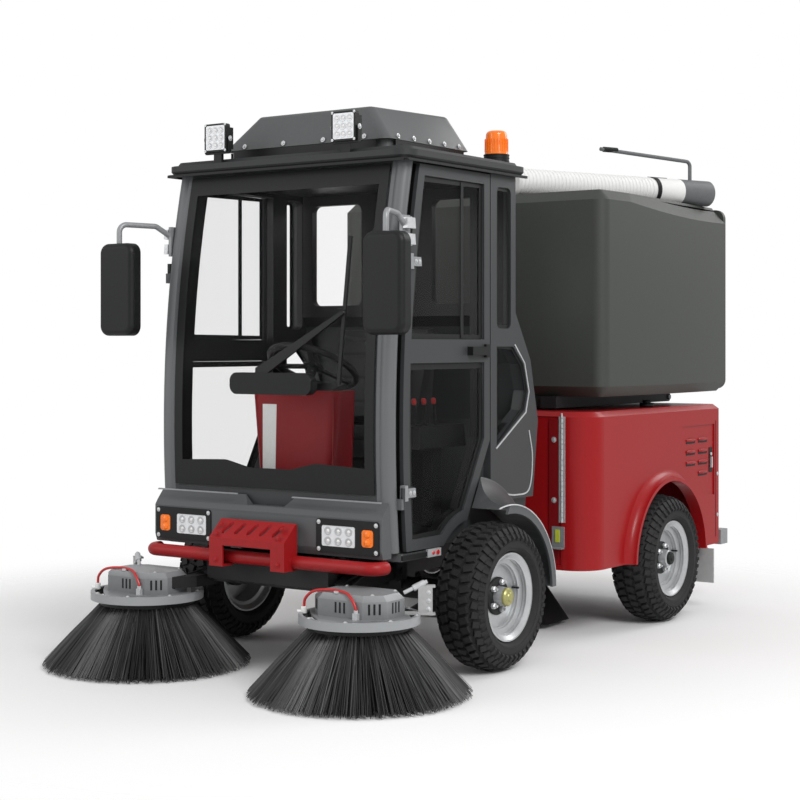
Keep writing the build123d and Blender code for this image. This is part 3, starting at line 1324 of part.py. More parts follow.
with BuildPart() as hopper_door:
    with BuildSketch(front_plane(REAR_Y + TAIL)):
        with Locations((0, (HOPPER_LOW_Z + HOPPER_TOP_Z) / 2)):
            RectangleRounded(2 * HOPPER_HALF - 20, HOPPER_TOP_Z - HOPPER_LOW_Z - 20, HOPPER_BEVEL)
    extrude(amount=HOPPER_DOOR_T)
    for side in SIDES.values():
        with BuildSketch(side_plane(door_hinge.Y, side * DOOR_KNUCKLE_X)):
            with Locations((0, door_hinge.Z)):
                Circle(DOOR_KNUCKLE_R)
            with Locations((11, door_hinge.Z - 18)):
                Rectangle(14, 40)
            with Locations((0, door_hinge.Z)):
                Circle(DOOR_PIN_R + RUNNING, mode=Mode.SUBTRACT)
        extrude(amount=side * 60)
save(hopper_door, "hopper_door")

# Black frame under the hopper, with the tipping hinge at its tail
with BuildPart() as hopper_frame:
    rail_z = BODY_TOP_Z + 10
    rail_h = HOPPER_LOW_Z - SEAT - rail_z
    for side in SIDES.values():
        with BuildSketch(side_plane(REAR_Y, side * (TIP_RAIL_X - TIP_RAIL_W / 2))):
            with Locations(((TIP_BEHIND + HOPPER_FRONT) / 2, rail_z + rail_h / 2)):
                Rectangle(TIP_BEHIND - HOPPER_FRONT - 20, rail_h)
            with Locations((TIP_BEHIND, TIP_Z)):
                Circle(TIP_END_R)
                Circle(TIP_PIN_R + RUNNING, mode=Mode.SUBTRACT)
        extrude(amount=side * TIP_RAIL_W)
    with BuildSketch(Plane.XY.offset(rail_z)):
        with Locations((0, REAR_Y - 520), (0, REAR_Y - 40), (0, REAR_Y + 440)):
            Rectangle(2 * TIP_RAIL_X - TIP_RAIL_W, 80)
    extrude(amount=rail_h)
save(hopper_frame, "hopper_frame")

# Suction hose along the hopper's top, its nozzle and the handle
hose_z = HOPPER_TOP_Z + HOSE_R + HOSE_RISE
hose_start = Vector(HOSE_FROM[0], FRONT_Y + HOSE_FROM[1], hose_z)
hose_end = Vector(HOSE_TO[0], FRONT_Y + HOSE_TO[1], hose_z)
hose_dir = (hose_end - hose_start).normalized()
with BuildPart() as suction_hose:
    with BuildSketch(Plane(origin=hose_start, z_dir=hose_dir)):
        Circle(HOSE_R)
    extrude(amount=(hose_end - hose_start).length)
save(suction_hose, "suction_hose")

nozzle_start = hose_end + hose_dir * SEAT
with BuildPart() as hose_nozzle:
    with BuildSketch(Plane(origin=nozzle_start, z_dir=hose_dir)):
        Circle(HOSE_R)
    extrude(amount=NOZZLE_L)
    with BuildSketch(Plane(origin=nozzle_start + hose_dir * NOZZLE_L, z_dir=hose_dir)):
        Circle(NOZZLE_BORE_R)
    extrude(amount=-NOZZLE_BORE_L, mode=Mode.SUBTRACT)
    handle_start = nozzle_start + hose_dir * 80
    with BuildLine() as handle_line:
        FilletPolyline(
            handle_start + Vector(0, 0, HOSE_R - 10),
            handle_start + Vector(0, 0, HANDLE_RISE - 28),
            handle_start + Vector(0, 0, HANDLE_RISE) - hose_dir * HANDLE_L,
            radius=24,
        )
    with BuildSketch(Plane(origin=handle_line.line @ 0, z_dir=handle_line.line % 0)):
        Circle(HANDLE_R)
    sweep(path=handle_line.line)
save(hose_nozzle, "hose_nozzle")
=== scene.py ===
import json
import random
from math import cos, exp, hypot, pi, radians, sin, sqrt

import bmesh
import bpy
from mathutils import Matrix, Vector


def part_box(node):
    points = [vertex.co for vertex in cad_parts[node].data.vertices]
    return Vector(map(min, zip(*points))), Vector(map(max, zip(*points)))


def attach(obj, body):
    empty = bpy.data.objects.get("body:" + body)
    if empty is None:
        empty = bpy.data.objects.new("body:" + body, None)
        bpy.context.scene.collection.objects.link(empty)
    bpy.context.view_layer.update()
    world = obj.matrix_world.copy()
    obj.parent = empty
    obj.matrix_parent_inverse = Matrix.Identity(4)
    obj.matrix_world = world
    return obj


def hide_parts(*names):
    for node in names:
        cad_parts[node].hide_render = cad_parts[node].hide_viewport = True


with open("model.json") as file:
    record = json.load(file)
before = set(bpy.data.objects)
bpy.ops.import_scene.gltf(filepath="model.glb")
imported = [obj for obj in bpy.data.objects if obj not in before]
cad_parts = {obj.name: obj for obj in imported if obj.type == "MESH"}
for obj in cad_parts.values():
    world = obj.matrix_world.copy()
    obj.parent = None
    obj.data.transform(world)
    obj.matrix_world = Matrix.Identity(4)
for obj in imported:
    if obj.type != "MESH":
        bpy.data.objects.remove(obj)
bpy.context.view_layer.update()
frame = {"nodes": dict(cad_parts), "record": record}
NODES = frame["nodes"]
SIDES = (("left", 1), ("right", -1))
CORNERS = ((-1, -1), (-1, 1), (1, -1), (1, 1))

# Stations read from the frame, in metres
tyre_low, tyre_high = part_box("tyre_front_left")
FRONT = (tyre_low.y + tyre_high.y) / 2
REAR = sum(corner.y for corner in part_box("tyre_rear_left")) / 2
WHEEL_R = (tyre_high.z - tyre_low.z) / 2
UP = Vector((0, 0, 1))
AHEAD = (0, -1, 0)


# Mesh tools

def new_piece(name, bm, material, body, slot="usual", smooth=True):
    """Turns a bmesh into a piece that rides on a body."""
    if slot == "usual":
        slot = USUAL_SLOTS.get(material)
    mesh = bpy.data.meshes.new(name)
    bm.to_mesh(mesh)
    bm.free()
    obj = bpy.data.objects.new(name, mesh)
    bpy.context.scene.collection.objects.link(obj)
    mesh.materials.append(material)
    if smooth:
        mesh.shade_smooth()
        mesh.set_sharp_from_angle(angle=radians(35))
    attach(obj, body)
    return obj


def blanks(count):
    """Empty meshes, to build pieces in."""
    return [bmesh.new() for _ in range(count)]


def new_pieces(body, table, tail=""):
    """Makes a piece of each row: name, bmesh, material, and a slot where it isn't the usual one."""
    for name, bm, material, *slot in table:
        new_piece(name + tail, bm, material, body, *slot)


def axes(x, y, z):
    """Rotation with the given axes."""
    return Matrix((x, y, z)).transposed()


def frame_of(direction, up=UP):
    """Rotation whose X axis lies along direction."""
    x = Vector(direction).normalized()
    if abs(x.dot(up)) > 0.99:
        up = Vector((0, 1, 0))
    y = up.cross(x).normalized()
    return axes(x, y, x.cross(y))


BOX_FACES = ((0, 3, 2, 1), (4, 5, 6, 7), (0, 1, 5, 4), (1, 2, 6, 5), (2, 3, 7, 6), (3, 0, 4, 7))


def add_box(bm, size, at, turn=None, taper=1.0):
    """Adds a box whose top face is scaled by taper."""
    sx, sy, sz = (v / 2 for v in size)
    corners = []
    for z, k in ((-sz, 1.0), (sz, taper)):
        for x, y in ((-sx, -sy), (sx, -sy), (sx, sy), (-sx, sy)):
            p = Vector((x * k, y * k, z))
            if turn is not None:
                p = turn @ p
            corners.append(bm.verts.new(p + Vector(at)))
    for face in BOX_FACES:
        bm.faces.new([corners[i] for i in face])


def join_rings(bm, rings):
    """Faces between each ring of points and the next one."""
    for r0, r1 in zip(rings, rings[1:]):
        for k in range(len(r0)):
            j = (k + 1) % len(r0)
            corners = list(dict.fromkeys((r0[k], r0[j], r1[j], r1[k])))
            if len(corners) > 2:
                bm.faces.new(corners)


def around(a, radius=1.0):
    """A point on a circle about the X axis."""
    return Vector((0, radius * cos(a), radius * sin(a)))


def add_lathe(bm, profile, origin, axis, segments=48):
    """Turns (along, radius) points about an axis through origin."""
    turn = frame_of(axis)
    rings = []
    for along, radius in profile:
        if radius < 1e-6:
            rings.append([bm.verts.new(Vector(origin) + turn @ Vector((along, 0, 0)))] * segments)
            continue
        ring = []
        for i in range(segments):
            p = Vector((along, 0, 0)) + around(2 * pi * i / segments, radius)
            ring.append(bm.verts.new(Vector(origin) + turn @ p))
        rings.append(ring)
    join_rings(bm, rings)


def add_cylinder(bm, at, axis, radius, length, segments=16, edge=0.0):
    """A round bar from at along axis, with a small chamfer at each end."""
    edge = edge or radius * 0.15
    profile = [(0, 0), (0, radius - edge), (edge, radius)]
    profile += [(length - edge, radius), (length, radius - edge), (length, 0)]
    add_lathe(bm, profile, at, axis, segments)


def smooth_path(points, steps=8):
    """Catmull-Rom points through the given ones."""
    pts = [Vector(p) for p in points]
    pts = [pts[0] * 2 - pts[1]] + pts + [pts[-1] * 2 - pts[-2]]
    out = []
    for p0, p1, p2, p3 in zip(pts, pts[1:], pts[2:], pts[3:]):
        for i in range(steps):
            t = i / steps
            a = 2 * p1 + (p2 - p0) * t + (2 * p0 - 5 * p1 + 4 * p2 - p3) * t * t
            out.append((a + (3 * p1 - p0 - 3 * p2 + p3) * t**3) / 2)
    out.append(pts[-2])
    return out


def close_ends(bm, rings):
    """Faces over the first and the last ring."""
    bm.faces.new(list(reversed(rings[0])))
    bm.faces.new(rings[-1])


def add_tube(bm, path, radius, segments=12):
    """A tube along a path; radius may be a function of the share of the length."""
    radius_at = radius if callable(radius) else (lambda t: radius)
    turn = last = None
    rings = []
    for i, p in enumerate(path):
        tangent = (path[min(i + 1, len(path) - 1)] - path[max(i - 1, 0)]).normalized()
        if turn is None:
            turn = frame_of(tangent)
        else:
            turn = last.rotation_difference(tangent).to_matrix() @ turn
        last = tangent
        r = radius_at(i / (len(path) - 1))
        spots = [around(2 * pi * k / segments, r) for k in range(segments)]
        rings.append([bm.verts.new(p + turn @ spot) for spot in spots])
    join_rings(bm, rings)
    close_ends(bm, rings)


def add_outline(bm, points, depth, to_world):
    """A flat plate from a 2-D outline, depth thick along the outline's own Z."""
    rings = []
    for z in (0, depth):
        rings.append([bm.verts.new(to_world @ Vector((x, y, z))) for x, y in points])
    close_ends(bm, rings)
    join_rings(bm, rings)


def placed(origin, x_dir, y_dir):
    """4x4 whose X and Y axes lie along the given directions."""
    x = Vector(x_dir).normalized()
    z = x.cross(Vector(y_dir)).normalized()
    y = z.cross(x)
    m = axes(x, y, z).to_4x4()
    m.translation = Vector(origin)
    return m


def add_bolt(bm, at, axis, radius=0.006, height=0.005):
    """A domed head on a washer."""
    shares = ((0, 1.6), (0.25, 1.6), (0.3, 1), (0.8, 0.9), (1, 0.5), (1, 0))
    add_lathe(bm, [(height * x, radius * r) for x, r in shares], at, axis, 10)


def add_ribbon(bm, path, normal, width, thick, closed=False):
    """A flat strip along a path, lying on a face with the given normal."""
    path = [Vector(p) for p in path]
    normal = Vector(normal).normalized()
    count = len(path)
    rings = []
    for i, p in enumerate(path):
        before = path[i - 1] if i or closed else p
        after = path[(i + 1) % count] if i < count - 1 or closed else p
        side = (after - before).cross(normal).normalized() * width / 2
        out = normal * thick
        rings.append([bm.verts.new(q) for q in (p + side, p + side + out, p - side + out, p - side)])
    join_rings(bm, rings + rings[:1] if closed else rings)
    if not closed:
        close_ends(bm, rings)


def mirrored(side, p):
    """A point given on the left side, on either side."""
    return Vector((side * p[0], p[1], p[2]))


FRONT_ARC = ((-0.535, 0.5), (-0.555, 1.1), (-0.445, 1.96))  # cab's front line, from the front axle
SCREEN_OUT = 0.0063  # glass in front of that line


def circle_through(p, q, r):
    """Centre and radius of the circle through three points."""
    (x1, y1), (x2, y2), (x3, y3) = p, q, r
    d = 2 * (x1 * (y2 - y3) + x2 * (y3 - y1) + x3 * (y1 - y2))
    s1, s2, s3 = x1 * x1 + y1 * y1, x2 * x2 + y2 * y2, x3 * x3 + y3 * y3
    cx = (s1 * (y2 - y3) + s2 * (y3 - y1) + s3 * (y1 - y2)) / d
    cy = (s1 * (x3 - x2) + s2 * (x1 - x3) + s3 * (x2 - x1)) / d
    return cx, cy, hypot(x1 - cx, y1 - cy)


ARC_Y, ARC_Z, ARC_R = circle_through(*FRONT_ARC)


def front_at(z, out=0.0):
    """Station of the cab's front line at a height."""
    return FRONT + ARC_Y - sqrt(ARC_R**2 - (z - ARC_Z) ** 2) - out


# Materials


def set_inputs(tree, node, inputs):
    """Links or sets the inputs of a shader node."""
    for key, value in inputs.items():
        if isinstance(value, bpy.types.NodeSocket):
            tree.links.new(value, node.inputs[key])
        else:
            node.inputs[key].default_value = value


def add_node(owner, kind, inputs, **settings):
    """Adds a shader node to a material or a world."""
    node = owner.node_tree.nodes.new("ShaderNode" + kind)
    for key, value in settings.items():
        setattr(node, key, value)
    set_inputs(owner.node_tree, node, inputs)
    return node


def mixed(mat, share, tone, other):
    """A colour with another one blended in by a share."""
    inputs = {"Factor": share, "A": tone, "B": (*other, 1)}
    return add_node(mat, "Mix", inputs, data_type="RGBA").outputs["Result"]


def mapped(mat, value, **limits):
    """A value taken from one range to another."""
    inputs = {key.replace("_", " "): limit for key, limit in limits.items()}
    return add_node(mat, "MapRange", {"Value": value, **inputs}).outputs["Result"]


DUST = (0.16, 0.14, 0.12)


def material(
    name, color, rough=0.5, spread=0.12, bump=0.05, grain=60.0, bump_grain=400.0, metallic=0.0, dirt=0.0,
    coat=0.0, specular=0.5, edge=None, alpha=1.0, transmission=0.0, emission=0.0,
):
    """A finish with uneven colour and roughness, a fine bump, and paler edges where asked."""
    mat = bpy.data.materials.new(name)
    mat.use_nodes = True
    coords = add_node(mat, "TexCoord", {}).outputs["Object"]
    noise = add_node(mat, "TexNoise", {"Vector": coords, "Scale": grain, "Detail": 6, "Roughness": 0.6})
    ramp = add_node(mat, "ValToRGB", {"Fac": noise.outputs["Fac"]})
    for stop, at, share in zip(ramp.color_ramp.elements, (0.3, 0.7), (1 - spread, 1 + spread)):
        stop.position = at
        stop.color = [min(1.0, c * share) for c in color] + [1]
    tone = ramp.outputs["Color"]
    if dirt:
        broad = add_node(mat, "TexNoise", {"Vector": coords, "Scale": 3.0, "Detail": 8})
        share = mapped(mat, broad.outputs["Fac"], From_Min=0.45, From_Max=0.8, To_Max=dirt)
        tone = mixed(mat, share, tone, DUST)
    if edge:
        pointed = add_node(mat, "NewGeometry", {}).outputs["Pointiness"]
        tone = mixed(mat, mapped(mat, pointed, From_Min=0.53, From_Max=0.62), tone, edge)
    low, high = max(0.02, rough - 0.08), min(1.0, rough + 0.08)
    looks = {
        "Base Color": tone,
        "Roughness": mapped(mat, noise.outputs["Fac"], To_Min=low, To_Max=high),
        "Metallic": metallic,
        "Coat Weight": coat,
        "Coat Roughness": 0.12,
        "Specular IOR Level": specular,
        "Alpha": alpha,
        "Transmission Weight": transmission,
    }
    if bump:
        fine = add_node(mat, "TexNoise", {"Vector": coords, "Scale": bump_grain, "Detail": 3})
        inputs = {"Height": fine.outputs["Fac"], "Strength": bump, "Distance": 0.002}
        looks["Normal"] = add_node(mat, "Bump", inputs).outputs["Normal"]
    if emission:
        looks["Emission Color"] = (*color, 1)
        looks["Emission Strength"] = emission
    set_inputs(mat.node_tree, mat.node_tree.nodes["Principled BSDF"], looks)
    return mat


CAB_TONE = (0.045, 0.047, 0.049)
CAB_FINISH = {"rough": 0.42, "spread": 0.05, "bump": 0.015, "specular": 0.35}
RED_FINISH = {"rough": 0.4, "spread": 0.05, "bump": 0.02, "specular": 0.25}
LENS_FINISH = {"rough": 0.15, "spread": 0.05, "bump": 0, "coat": 0.5}

GREY = material("cab_paint", CAB_TONE, edge=(0.09, 0.094, 0.098), **CAB_FINISH)
ROOF_GREY = material("roof_paint", (0.03, 0.031, 0.032), 0.5, 0.06, 0.03, specular=0.3)
COOLER_GREY = material("cooler_grey", (0.085, 0.088, 0.09), 0.4, 0.05, 0.015, edge=(0.14, 0.145, 0.15))
DARK = material("dark_trim", (0.009, 0.0095, 0.01), 0.48, 0.15, 0.04, bump_grain=900, specular=0.28)
FRAME_BLACK = material("frame_black", (0.014, 0.014, 0.015), dirt=0.15, bump=0.04, specular=0.3)
RED = material("body_red", (0.31, 0.006, 0.008), 0.36, 0.04, 0.01, coat=0.12, specular=0.25)
# painted shade: a darker copy of the body red, for the shaded front face of the red body and the console's
# corner
SHADED_RED = material("painted_shade_red", (0.2, 0.006, 0.008), **RED_FINISH)
BUMPER_RED = material("bumper_red", (0.32, 0.008, 0.01), 0.42, 0.08, 0.04, bump_grain=700, specular=0.3)
OLIVE = material("hopper_olive", (0.05, 0.054, 0.048), 0.5, 0.05, 0.02, bump_grain=250, specular=0.35)
RUBBER = material(
    "tyre_rubber", (0.014, 0.014, 0.015), 0.75, 0.25, 0.12, bump_grain=350, dirt=0.1, specular=0.4
)
SILVER = material("rim_silver", (0.52, 0.53, 0.54), 0.34, 0.05, 0.02, metallic=0.6)
STEEL = material("grey_steel", (0.3, 0.31, 0.32), 0.42, 0.08, 0.03, metallic=0.3)
ZINC = material("zinc", (0.6, 0.61, 0.62), 0.34, 0.1, 0.02, metallic=0.45)
GOLD = material("hub_cap", (0.42, 0.4, 0.16), 0.4, 0.2, 0.1, metallic=0.6)
COVER_GREY = material("cover_grey", (0.15, 0.155, 0.16), 0.38, 0.08, 0.03, edge=(0.3, 0.31, 0.32))
BRISTLE = material("bristle", (0.035, 0.035, 0.037), 0.45, 0.5, 0, grain=90)
SEAT_TRIM = material("seat_trim", (0.02, 0.02, 0.022), 0.7, bump=0.08, bump_grain=500)
CONSOLE_RED = material("console_red", (0.24, 0.006, 0.01), 0.42, 0.06, 0.01, specular=0.3)
WHITE = material("hose_white", (0.8, 0.8, 0.79), 0.45, 0.03, 0.02)
PIPE_GREY = material("pipe_grey", (0.12, 0.125, 0.13), 0.45, 0.08, 0.03)
FLAP = material("flap_grey", (0.4, 0.4, 0.4), 0.6, 0.06, 0.04)
HOSE_RED = material("spray_hose", (0.5, 0.02, 0.02), 0.35, 0.05, 0.01)
AMBER = material("amber", (0.9, 0.2, 0.005), 0.16, 0.08, 0, transmission=0.15, coat=0.4, emission=0.12)
LENS = material("lens", (0.78, 0.8, 0.82), 0.15, 0.03, 0, coat=0.5)
REFLECTOR_RED = material("reflector_red", (0.6, 0.01, 0.01), **LENS_FINISH)
REFLECTOR_LIME = material("reflector_lime", (0.55, 0.6, 0.05), 0.2, 0.05, 0, coat=0.4)
GLASS = material("glass_clear", (0.02, 0.022, 0.022), 0.04, 0.02, 0, alpha=0.03)
TINT = material("glass_tint", (0.012, 0.013, 0.013), 0.05, 0.05, 0, alpha=0.09)


def streak(mat, low, high):
    """Gives each island of the mesh its own shade between two greys."""
    island = add_node(mat, "NewGeometry", {}).outputs["Random Per Island"]
    ramp = add_node(mat, "ValToRGB", {"Fac": island})
    stops = ramp.color_ramp.elements
    stops[0].color = (low, low, low * 1.03, 1)
    stops[1].color = (high, high, high * 1.03, 1)
    stops.new(0.72).color = (low * 2, low * 2, low * 2, 1)
    set_inputs(mat.node_tree, mat.node_tree.nodes["Principled BSDF"], {"Base Color": ramp.outputs["Color"]})


streak(BRISTLE, 0.010, 0.085)

INNER_HALF = 0.5385  # half width of the cab's inside, with its walls
DOOR_INNER_HALF = 0.5575
# painted shade: near-black tone for what lies inside the cab
INNER_SHADE = (0.004, 0.004, 0.0045)
# painted reflection: paler tone on the cab's front pillars
PILLAR_SHEEN = (0.13, 0.135, 0.14)
PANEL_T = 0.010
CAB_BACK = 0.312  # from the front axle
PILLAR_IN = 0.500
PILLAR_DEEP = 0.046


def paint_cab_shade_and_sheen(mat, half, pillar_sheen=None):
    """Darkens what lies inside the cab as painted shade, and paints a paler painted reflection on its front
    pillars.
    """
    base = mat.node_tree.nodes["Principled BSDF"].inputs["Base Color"]

    def calc(operation, *values):
        return add_node(mat, "Math", dict(enumerate(values)), operation=operation).outputs[0]

    def blend_in(share, tone):
        mat.node_tree.links.new(mixed(mat, share, base.links[0].from_socket, tone), base)

    coords = add_node(mat, "TexCoord", {}).outputs["Object"]
    place = add_node(mat, "SeparateXYZ", {0: coords}).outputs
    beside = calc("ABSOLUTE", place["X"])
    rise = calc("SUBTRACT", place["Z"], ARC_Z)
    reach = calc("SQRT", calc("SUBTRACT", ARC_R**2, calc("MULTIPLY", rise, rise)))
    behind = calc("ADD", calc("SUBTRACT", place["Y"], FRONT + ARC_Y), reach)
    inside = calc("MULTIPLY", calc("LESS_THAN", beside, half), calc("GREATER_THAN", behind, PANEL_T))
    inside = calc("MULTIPLY", inside, calc("LESS_THAN", place["Y"], FRONT + CAB_BACK))
    # painted reflection on the front pillars
    if pillar_sheen:
        at_side = calc("GREATER_THAN", beside, PILLAR_IN)
        sheen_zone = calc("MULTIPLY", at_side, calc("LESS_THAN", behind, PILLAR_DEEP))
        blend_in(sheen_zone, pillar_sheen)
        inside = calc("MULTIPLY", inside, calc("SUBTRACT", 1.0, sheen_zone))
    # painted shade inside the cab
    blend_in(inside, INNER_SHADE)


# cab shell and doors: paint, with painted shade inside the cab and a painted reflection on the front pillars
CAB_SHELL = material("cab_shell_paint_shade_and_sheen", CAB_TONE, **CAB_FINISH)
paint_cab_shade_and_sheen(CAB_SHELL, INNER_HALF, PILLAR_SHEEN)
DOOR_PAINT_AND_SHADE = material("door_paint_and_shade", CAB_TONE, **CAB_FINISH)
paint_cab_shade_and_sheen(DOOR_PAINT_AND_SHADE, DOOR_INNER_HALF)

BY_SLOT = {
    "cab_grey": GREY,
    "frame_black": FRAME_BLACK,
    "body_red": RED,
    "bumper_red": BUMPER_RED,
    "hopper_olive": OLIVE,
    "glass": GLASS,
    "black_plastic": DARK,
    "lens_clear": LENS,
    "amber": AMBER,
    "tyre": RUBBER,
    "rim_silver": SILVER,
    "bristle": BRISTLE,
    "metal_grey": STEEL,
    "seat_trim": SEAT_TRIM,
    "console_red": CONSOLE_RED,
    "hose_white": WHITE,
    "nozzle_grey": PIPE_GREY,
    "flap_grey": FLAP,
}
USUAL_SLOTS = {mat: slot for slot, mat in BY_SLOT.items()} | {ZINC: "metal_grey"}
SLOT_OF = {s["node"]: s["material_slot"] for s in frame["record"]["subparts"]}
OVERRIDES = {
    "mirror_arms": STEEL,
    "cab_shell": CAB_SHELL,
    "door_left": DOOR_PAINT_AND_SHADE,
    "door_right": DOOR_PAINT_AND_SHADE,
    "cab_roof": ROOF_GREY,
    "aircon_unit": COOLER_GREY,
    "door_glass_left": TINT,
    "door_glass_right": TINT,
    "brush_cover_left": COVER_GREY,
    "brush_cover_right": COVER_GREY,
}
for node_name, node in NODES.items():
    node.data.materials.clear()
    node.data.materials.append(OVERRIDES.get(node_name, BY_SLOT[SLOT_OF[node_name]]))
    node.data.shade_smooth()
    node.data.set_sharp_from_angle(angle=radians(30))


# Camera, light and floor

CAMERA_AT = (4.102, -6.080, 1.271)
CAMERA_TURN = 34.92
CAMERA_LENS = 75.2
CAMERA_SHIFT = -0.0696

camera = bpy.data.objects.new("camera", bpy.data.cameras.new("camera"))
bpy.context.scene.collection.objects.link(camera)
camera.location = CAMERA_AT
camera.rotation_euler = (radians(90), 0, radians(CAMERA_TURN))
camera.data.lens = CAMERA_LENS
camera.data.sensor_width = 36
camera.data.shift_y = CAMERA_SHIFT
bpy.context.scene.camera = camera
bpy.context.scene.view_settings.view_transform = "Standard"


def add_light(name, at, target, size, power):
    """A round area light that looks at a point."""
    lamp = bpy.data.lights.new(name, "AREA")
    lamp.shape = "DISK"
    lamp.size = size
    lamp.energy = power
    obj = bpy.data.objects.new(name, lamp)
    bpy.context.scene.collection.objects.link(obj)
    obj.location = at
    obj.rotation_euler = (Vector(target) - Vector(at)).to_track_quat("-Z", "Y").to_euler()


add_light("key", (6.5, -3.5, 6.0), (0, 0, 0.8), 4.0, 420)
add_light("fill", (-4.0, -7.0, 3.5), (0, 0, 0.8), 5.0, 110)
add_light("rim", (3.0, 6.5, 5.0), (0, 0, 1.0), 4.0, 150)

# White to the camera and through glass, grey as a light
world = bpy.data.worlds.new("world")
bpy.context.scene.world = world
world.use_nodes = True
grey_sky = world.node_tree.nodes["Background"]
grey_sky.inputs["Color"].default_value = (0.62, 0.62, 0.62, 1)
white_sky = add_node(world, "Background", {"Color": (1, 1, 1, 1)})
rays = add_node(world, "LightPath", {}).outputs
direct = {0: rays["Is Camera Ray"], 1: rays["Is Transmission Ray"]}
seen = add_node(world, "Math", direct, operation="MAXIMUM")
skies = {"Fac": seen.outputs["Value"], 1: grey_sky.outputs["Background"], 2: white_sky.outputs["Background"]}
sky = add_node(world, "MixShader", skies).outputs["Shader"]
world.node_tree.links.new(sky, world.node_tree.nodes["World Output"].inputs["Surface"])

FLOOR_SOLID = 1.6
FLOOR_GONE = 3.4

floor_mesh = bmesh.new()
bmesh.ops.create_grid(floor_mesh, x_segments=1, y_segments=1, size=60)
floor_data = bpy.data.meshes.new("floor")
floor_mesh.to_mesh(floor_data)
floor_mesh.free()
floor = bpy.data.objects.new("floor", floor_data)
bpy.context.scene.collection.objects.link(floor)


def fade_out(mat, near, far):
    """Lets a floor fade into the white background between two distances."""
    coords = add_node(mat, "TexCoord", {}).outputs["Object"]
    length = add_node(mat, "VectorMath", {0: coords}, operation="LENGTH").outputs["Value"]
    inputs = {"Value": length, "From Min": near, "From Max": far, "To Min": 1.0, "To Max": 0.0}
    share = add_node(mat, "MapRange", inputs, interpolation_type="SMOOTHSTEP").outputs["Result"]
    set_inputs(mat.node_tree, mat.node_tree.nodes["Principled BSDF"], {"Alpha": share})


floor_mat = material("floor_white", (0.9, 0.9, 0.9), rough=0.9, spread=0.01, bump=0, specular=0.1)
fade_out(floor_mat, FLOOR_SOLID, FLOOR_GONE)
floor_data.materials.append(floor_mat)


# Tyres: carcass with turf blocks

TREAD_PITCH = 44
TREAD_DEPTH = 0.012
TREAD_ROWS = ((-0.84, 0.30), (-0.43, 0.36), (0.0, 0.36), (0.43, 0.36), (0.84, 0.30))  # middle, width
BLOCK_LENGTH = 0.028
BLOCK_ROOT = 0.006  # part of a block that sits in the carcass
BLOCK_TWIST = 16
LUG_SIZE = (0.034, 0.017, 0.012)
SIDE_RINGS = (0.745, 0.675)
CROWN = ((0, 1.0), (0.53, 0.976), (0.8, 0.926), (0.95, 0.85), (1.0, 0.766))
SIDEWALL = ((1.0, 0.70), (0.975, 0.655), (0.90, 0.63), (0.76, 0.606), (0.56, 0.545))


def crown_at(across):
    """Radius of the tread, as a share of the wheel's, at a share of half the width."""
    across = abs(across)
    for (x0, r0), (x1, r1) in zip(CROWN, CROWN[1:]):
        if across <= x1:
            t = (across - x0) / (x1 - x0)
            return r0 + (r1 - r0) * t
    return CROWN[-1][1]


def make_tyre(axle, side_name, station):
    low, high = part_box(f"tyre_{axle}_{side_name}")
    centre = Vector(((low.x + high.x) / 2, station, WHEEL_R))
    half = (high.x - low.x) / 2
    base = TREAD_DEPTH / WHEEL_R
    outer = [(x / 20, crown_at(x / 20) - base * (1 - max(0, x / 20 - 0.85) * 6)) for x in range(20)]
    outer += [(x * 0.995, r) for x, r in SIDEWALL]
    profile = [(-x * half, r * WHEEL_R) for x, r in reversed(outer[1:])]
    profile += [(x * half, r * WHEEL_R) for x, r in outer]
    bm = bmesh.new()
    add_lathe(bm, profile, centre, (1, 0, 0), 96)
    for row, (across, width) in enumerate(TREAD_ROWS):
        slope = (crown_at(across + 0.1) - crown_at(across - 0.1)) * WHEEL_R / (0.2 * half)
        for k in range(TREAD_PITCH):
            radial = around(2 * pi * (k + 0.5 * (row % 2)) / TREAD_PITCH)
            up = (radial + Vector((-slope, 0, 0))).normalized()
            tangent = Vector((1, 0, 0)).cross(radial)
            cross = tangent.cross(up).normalized()
            twist = Matrix.Rotation(radians(BLOCK_TWIST if row % 2 else -BLOCK_TWIST), 3, up)
            depth = TREAD_DEPTH + BLOCK_ROOT
            crown = radial * (crown_at(across) * WHEEL_R - 0.0006)
            at = centre + Vector((across * half, 0, 0)) + crown - up * depth / 2
            size = (half * width, BLOCK_LENGTH, depth)
            add_box(bm, size, at, twist @ axes(cross, tangent, up), taper=0.86)
    # lugs that run down the shoulders
    for face in (-1, 1):
        for k in range(TREAD_PITCH):
            radial = around(2 * pi * (k + 0.25) / TREAD_PITCH)
            tangent = Vector((1, 0, 0)).cross(radial)
            up = (radial * 0.55 + Vector((face * 0.83, 0, 0))).normalized()
            at = centre + Vector((face * half * 0.955, 0, 0)) + radial * WHEEL_R * 0.822
            add_box(bm, LUG_SIZE, at, axes(tangent.cross(up).normalized(), tangent, up), taper=0.8)
    # raised rings on the sidewalls
    ring = ((-0.0015, -0.003), (0.0008, -0.0022), (0.0008, 0.0022), (-0.0015, 0.003))
    for face in (-1, 1):
        for share in SIDE_RINGS:
            at = centre + Vector((face * half * 0.985, 0, 0))
            add_lathe(bm, [(x, share * WHEEL_R + r) for x, r in ring], at, (face, 0, 0), 72)
    obj = new_piece(f"turf_tyre_{axle}_{side_name}", bm, RUBBER, f"wheel_{axle}_{side_name}")
    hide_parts(f"tyre_{axle}_{side_name}")


RIM_LIP_IN = 0.020  # rim's lip, in from the tyre's face
DISC_IN = 0.062  # disc, in from the lip
HUB_OUT = 0.050  # hub's face, out from the disc
STUD_CIRCLE_R = 0.056


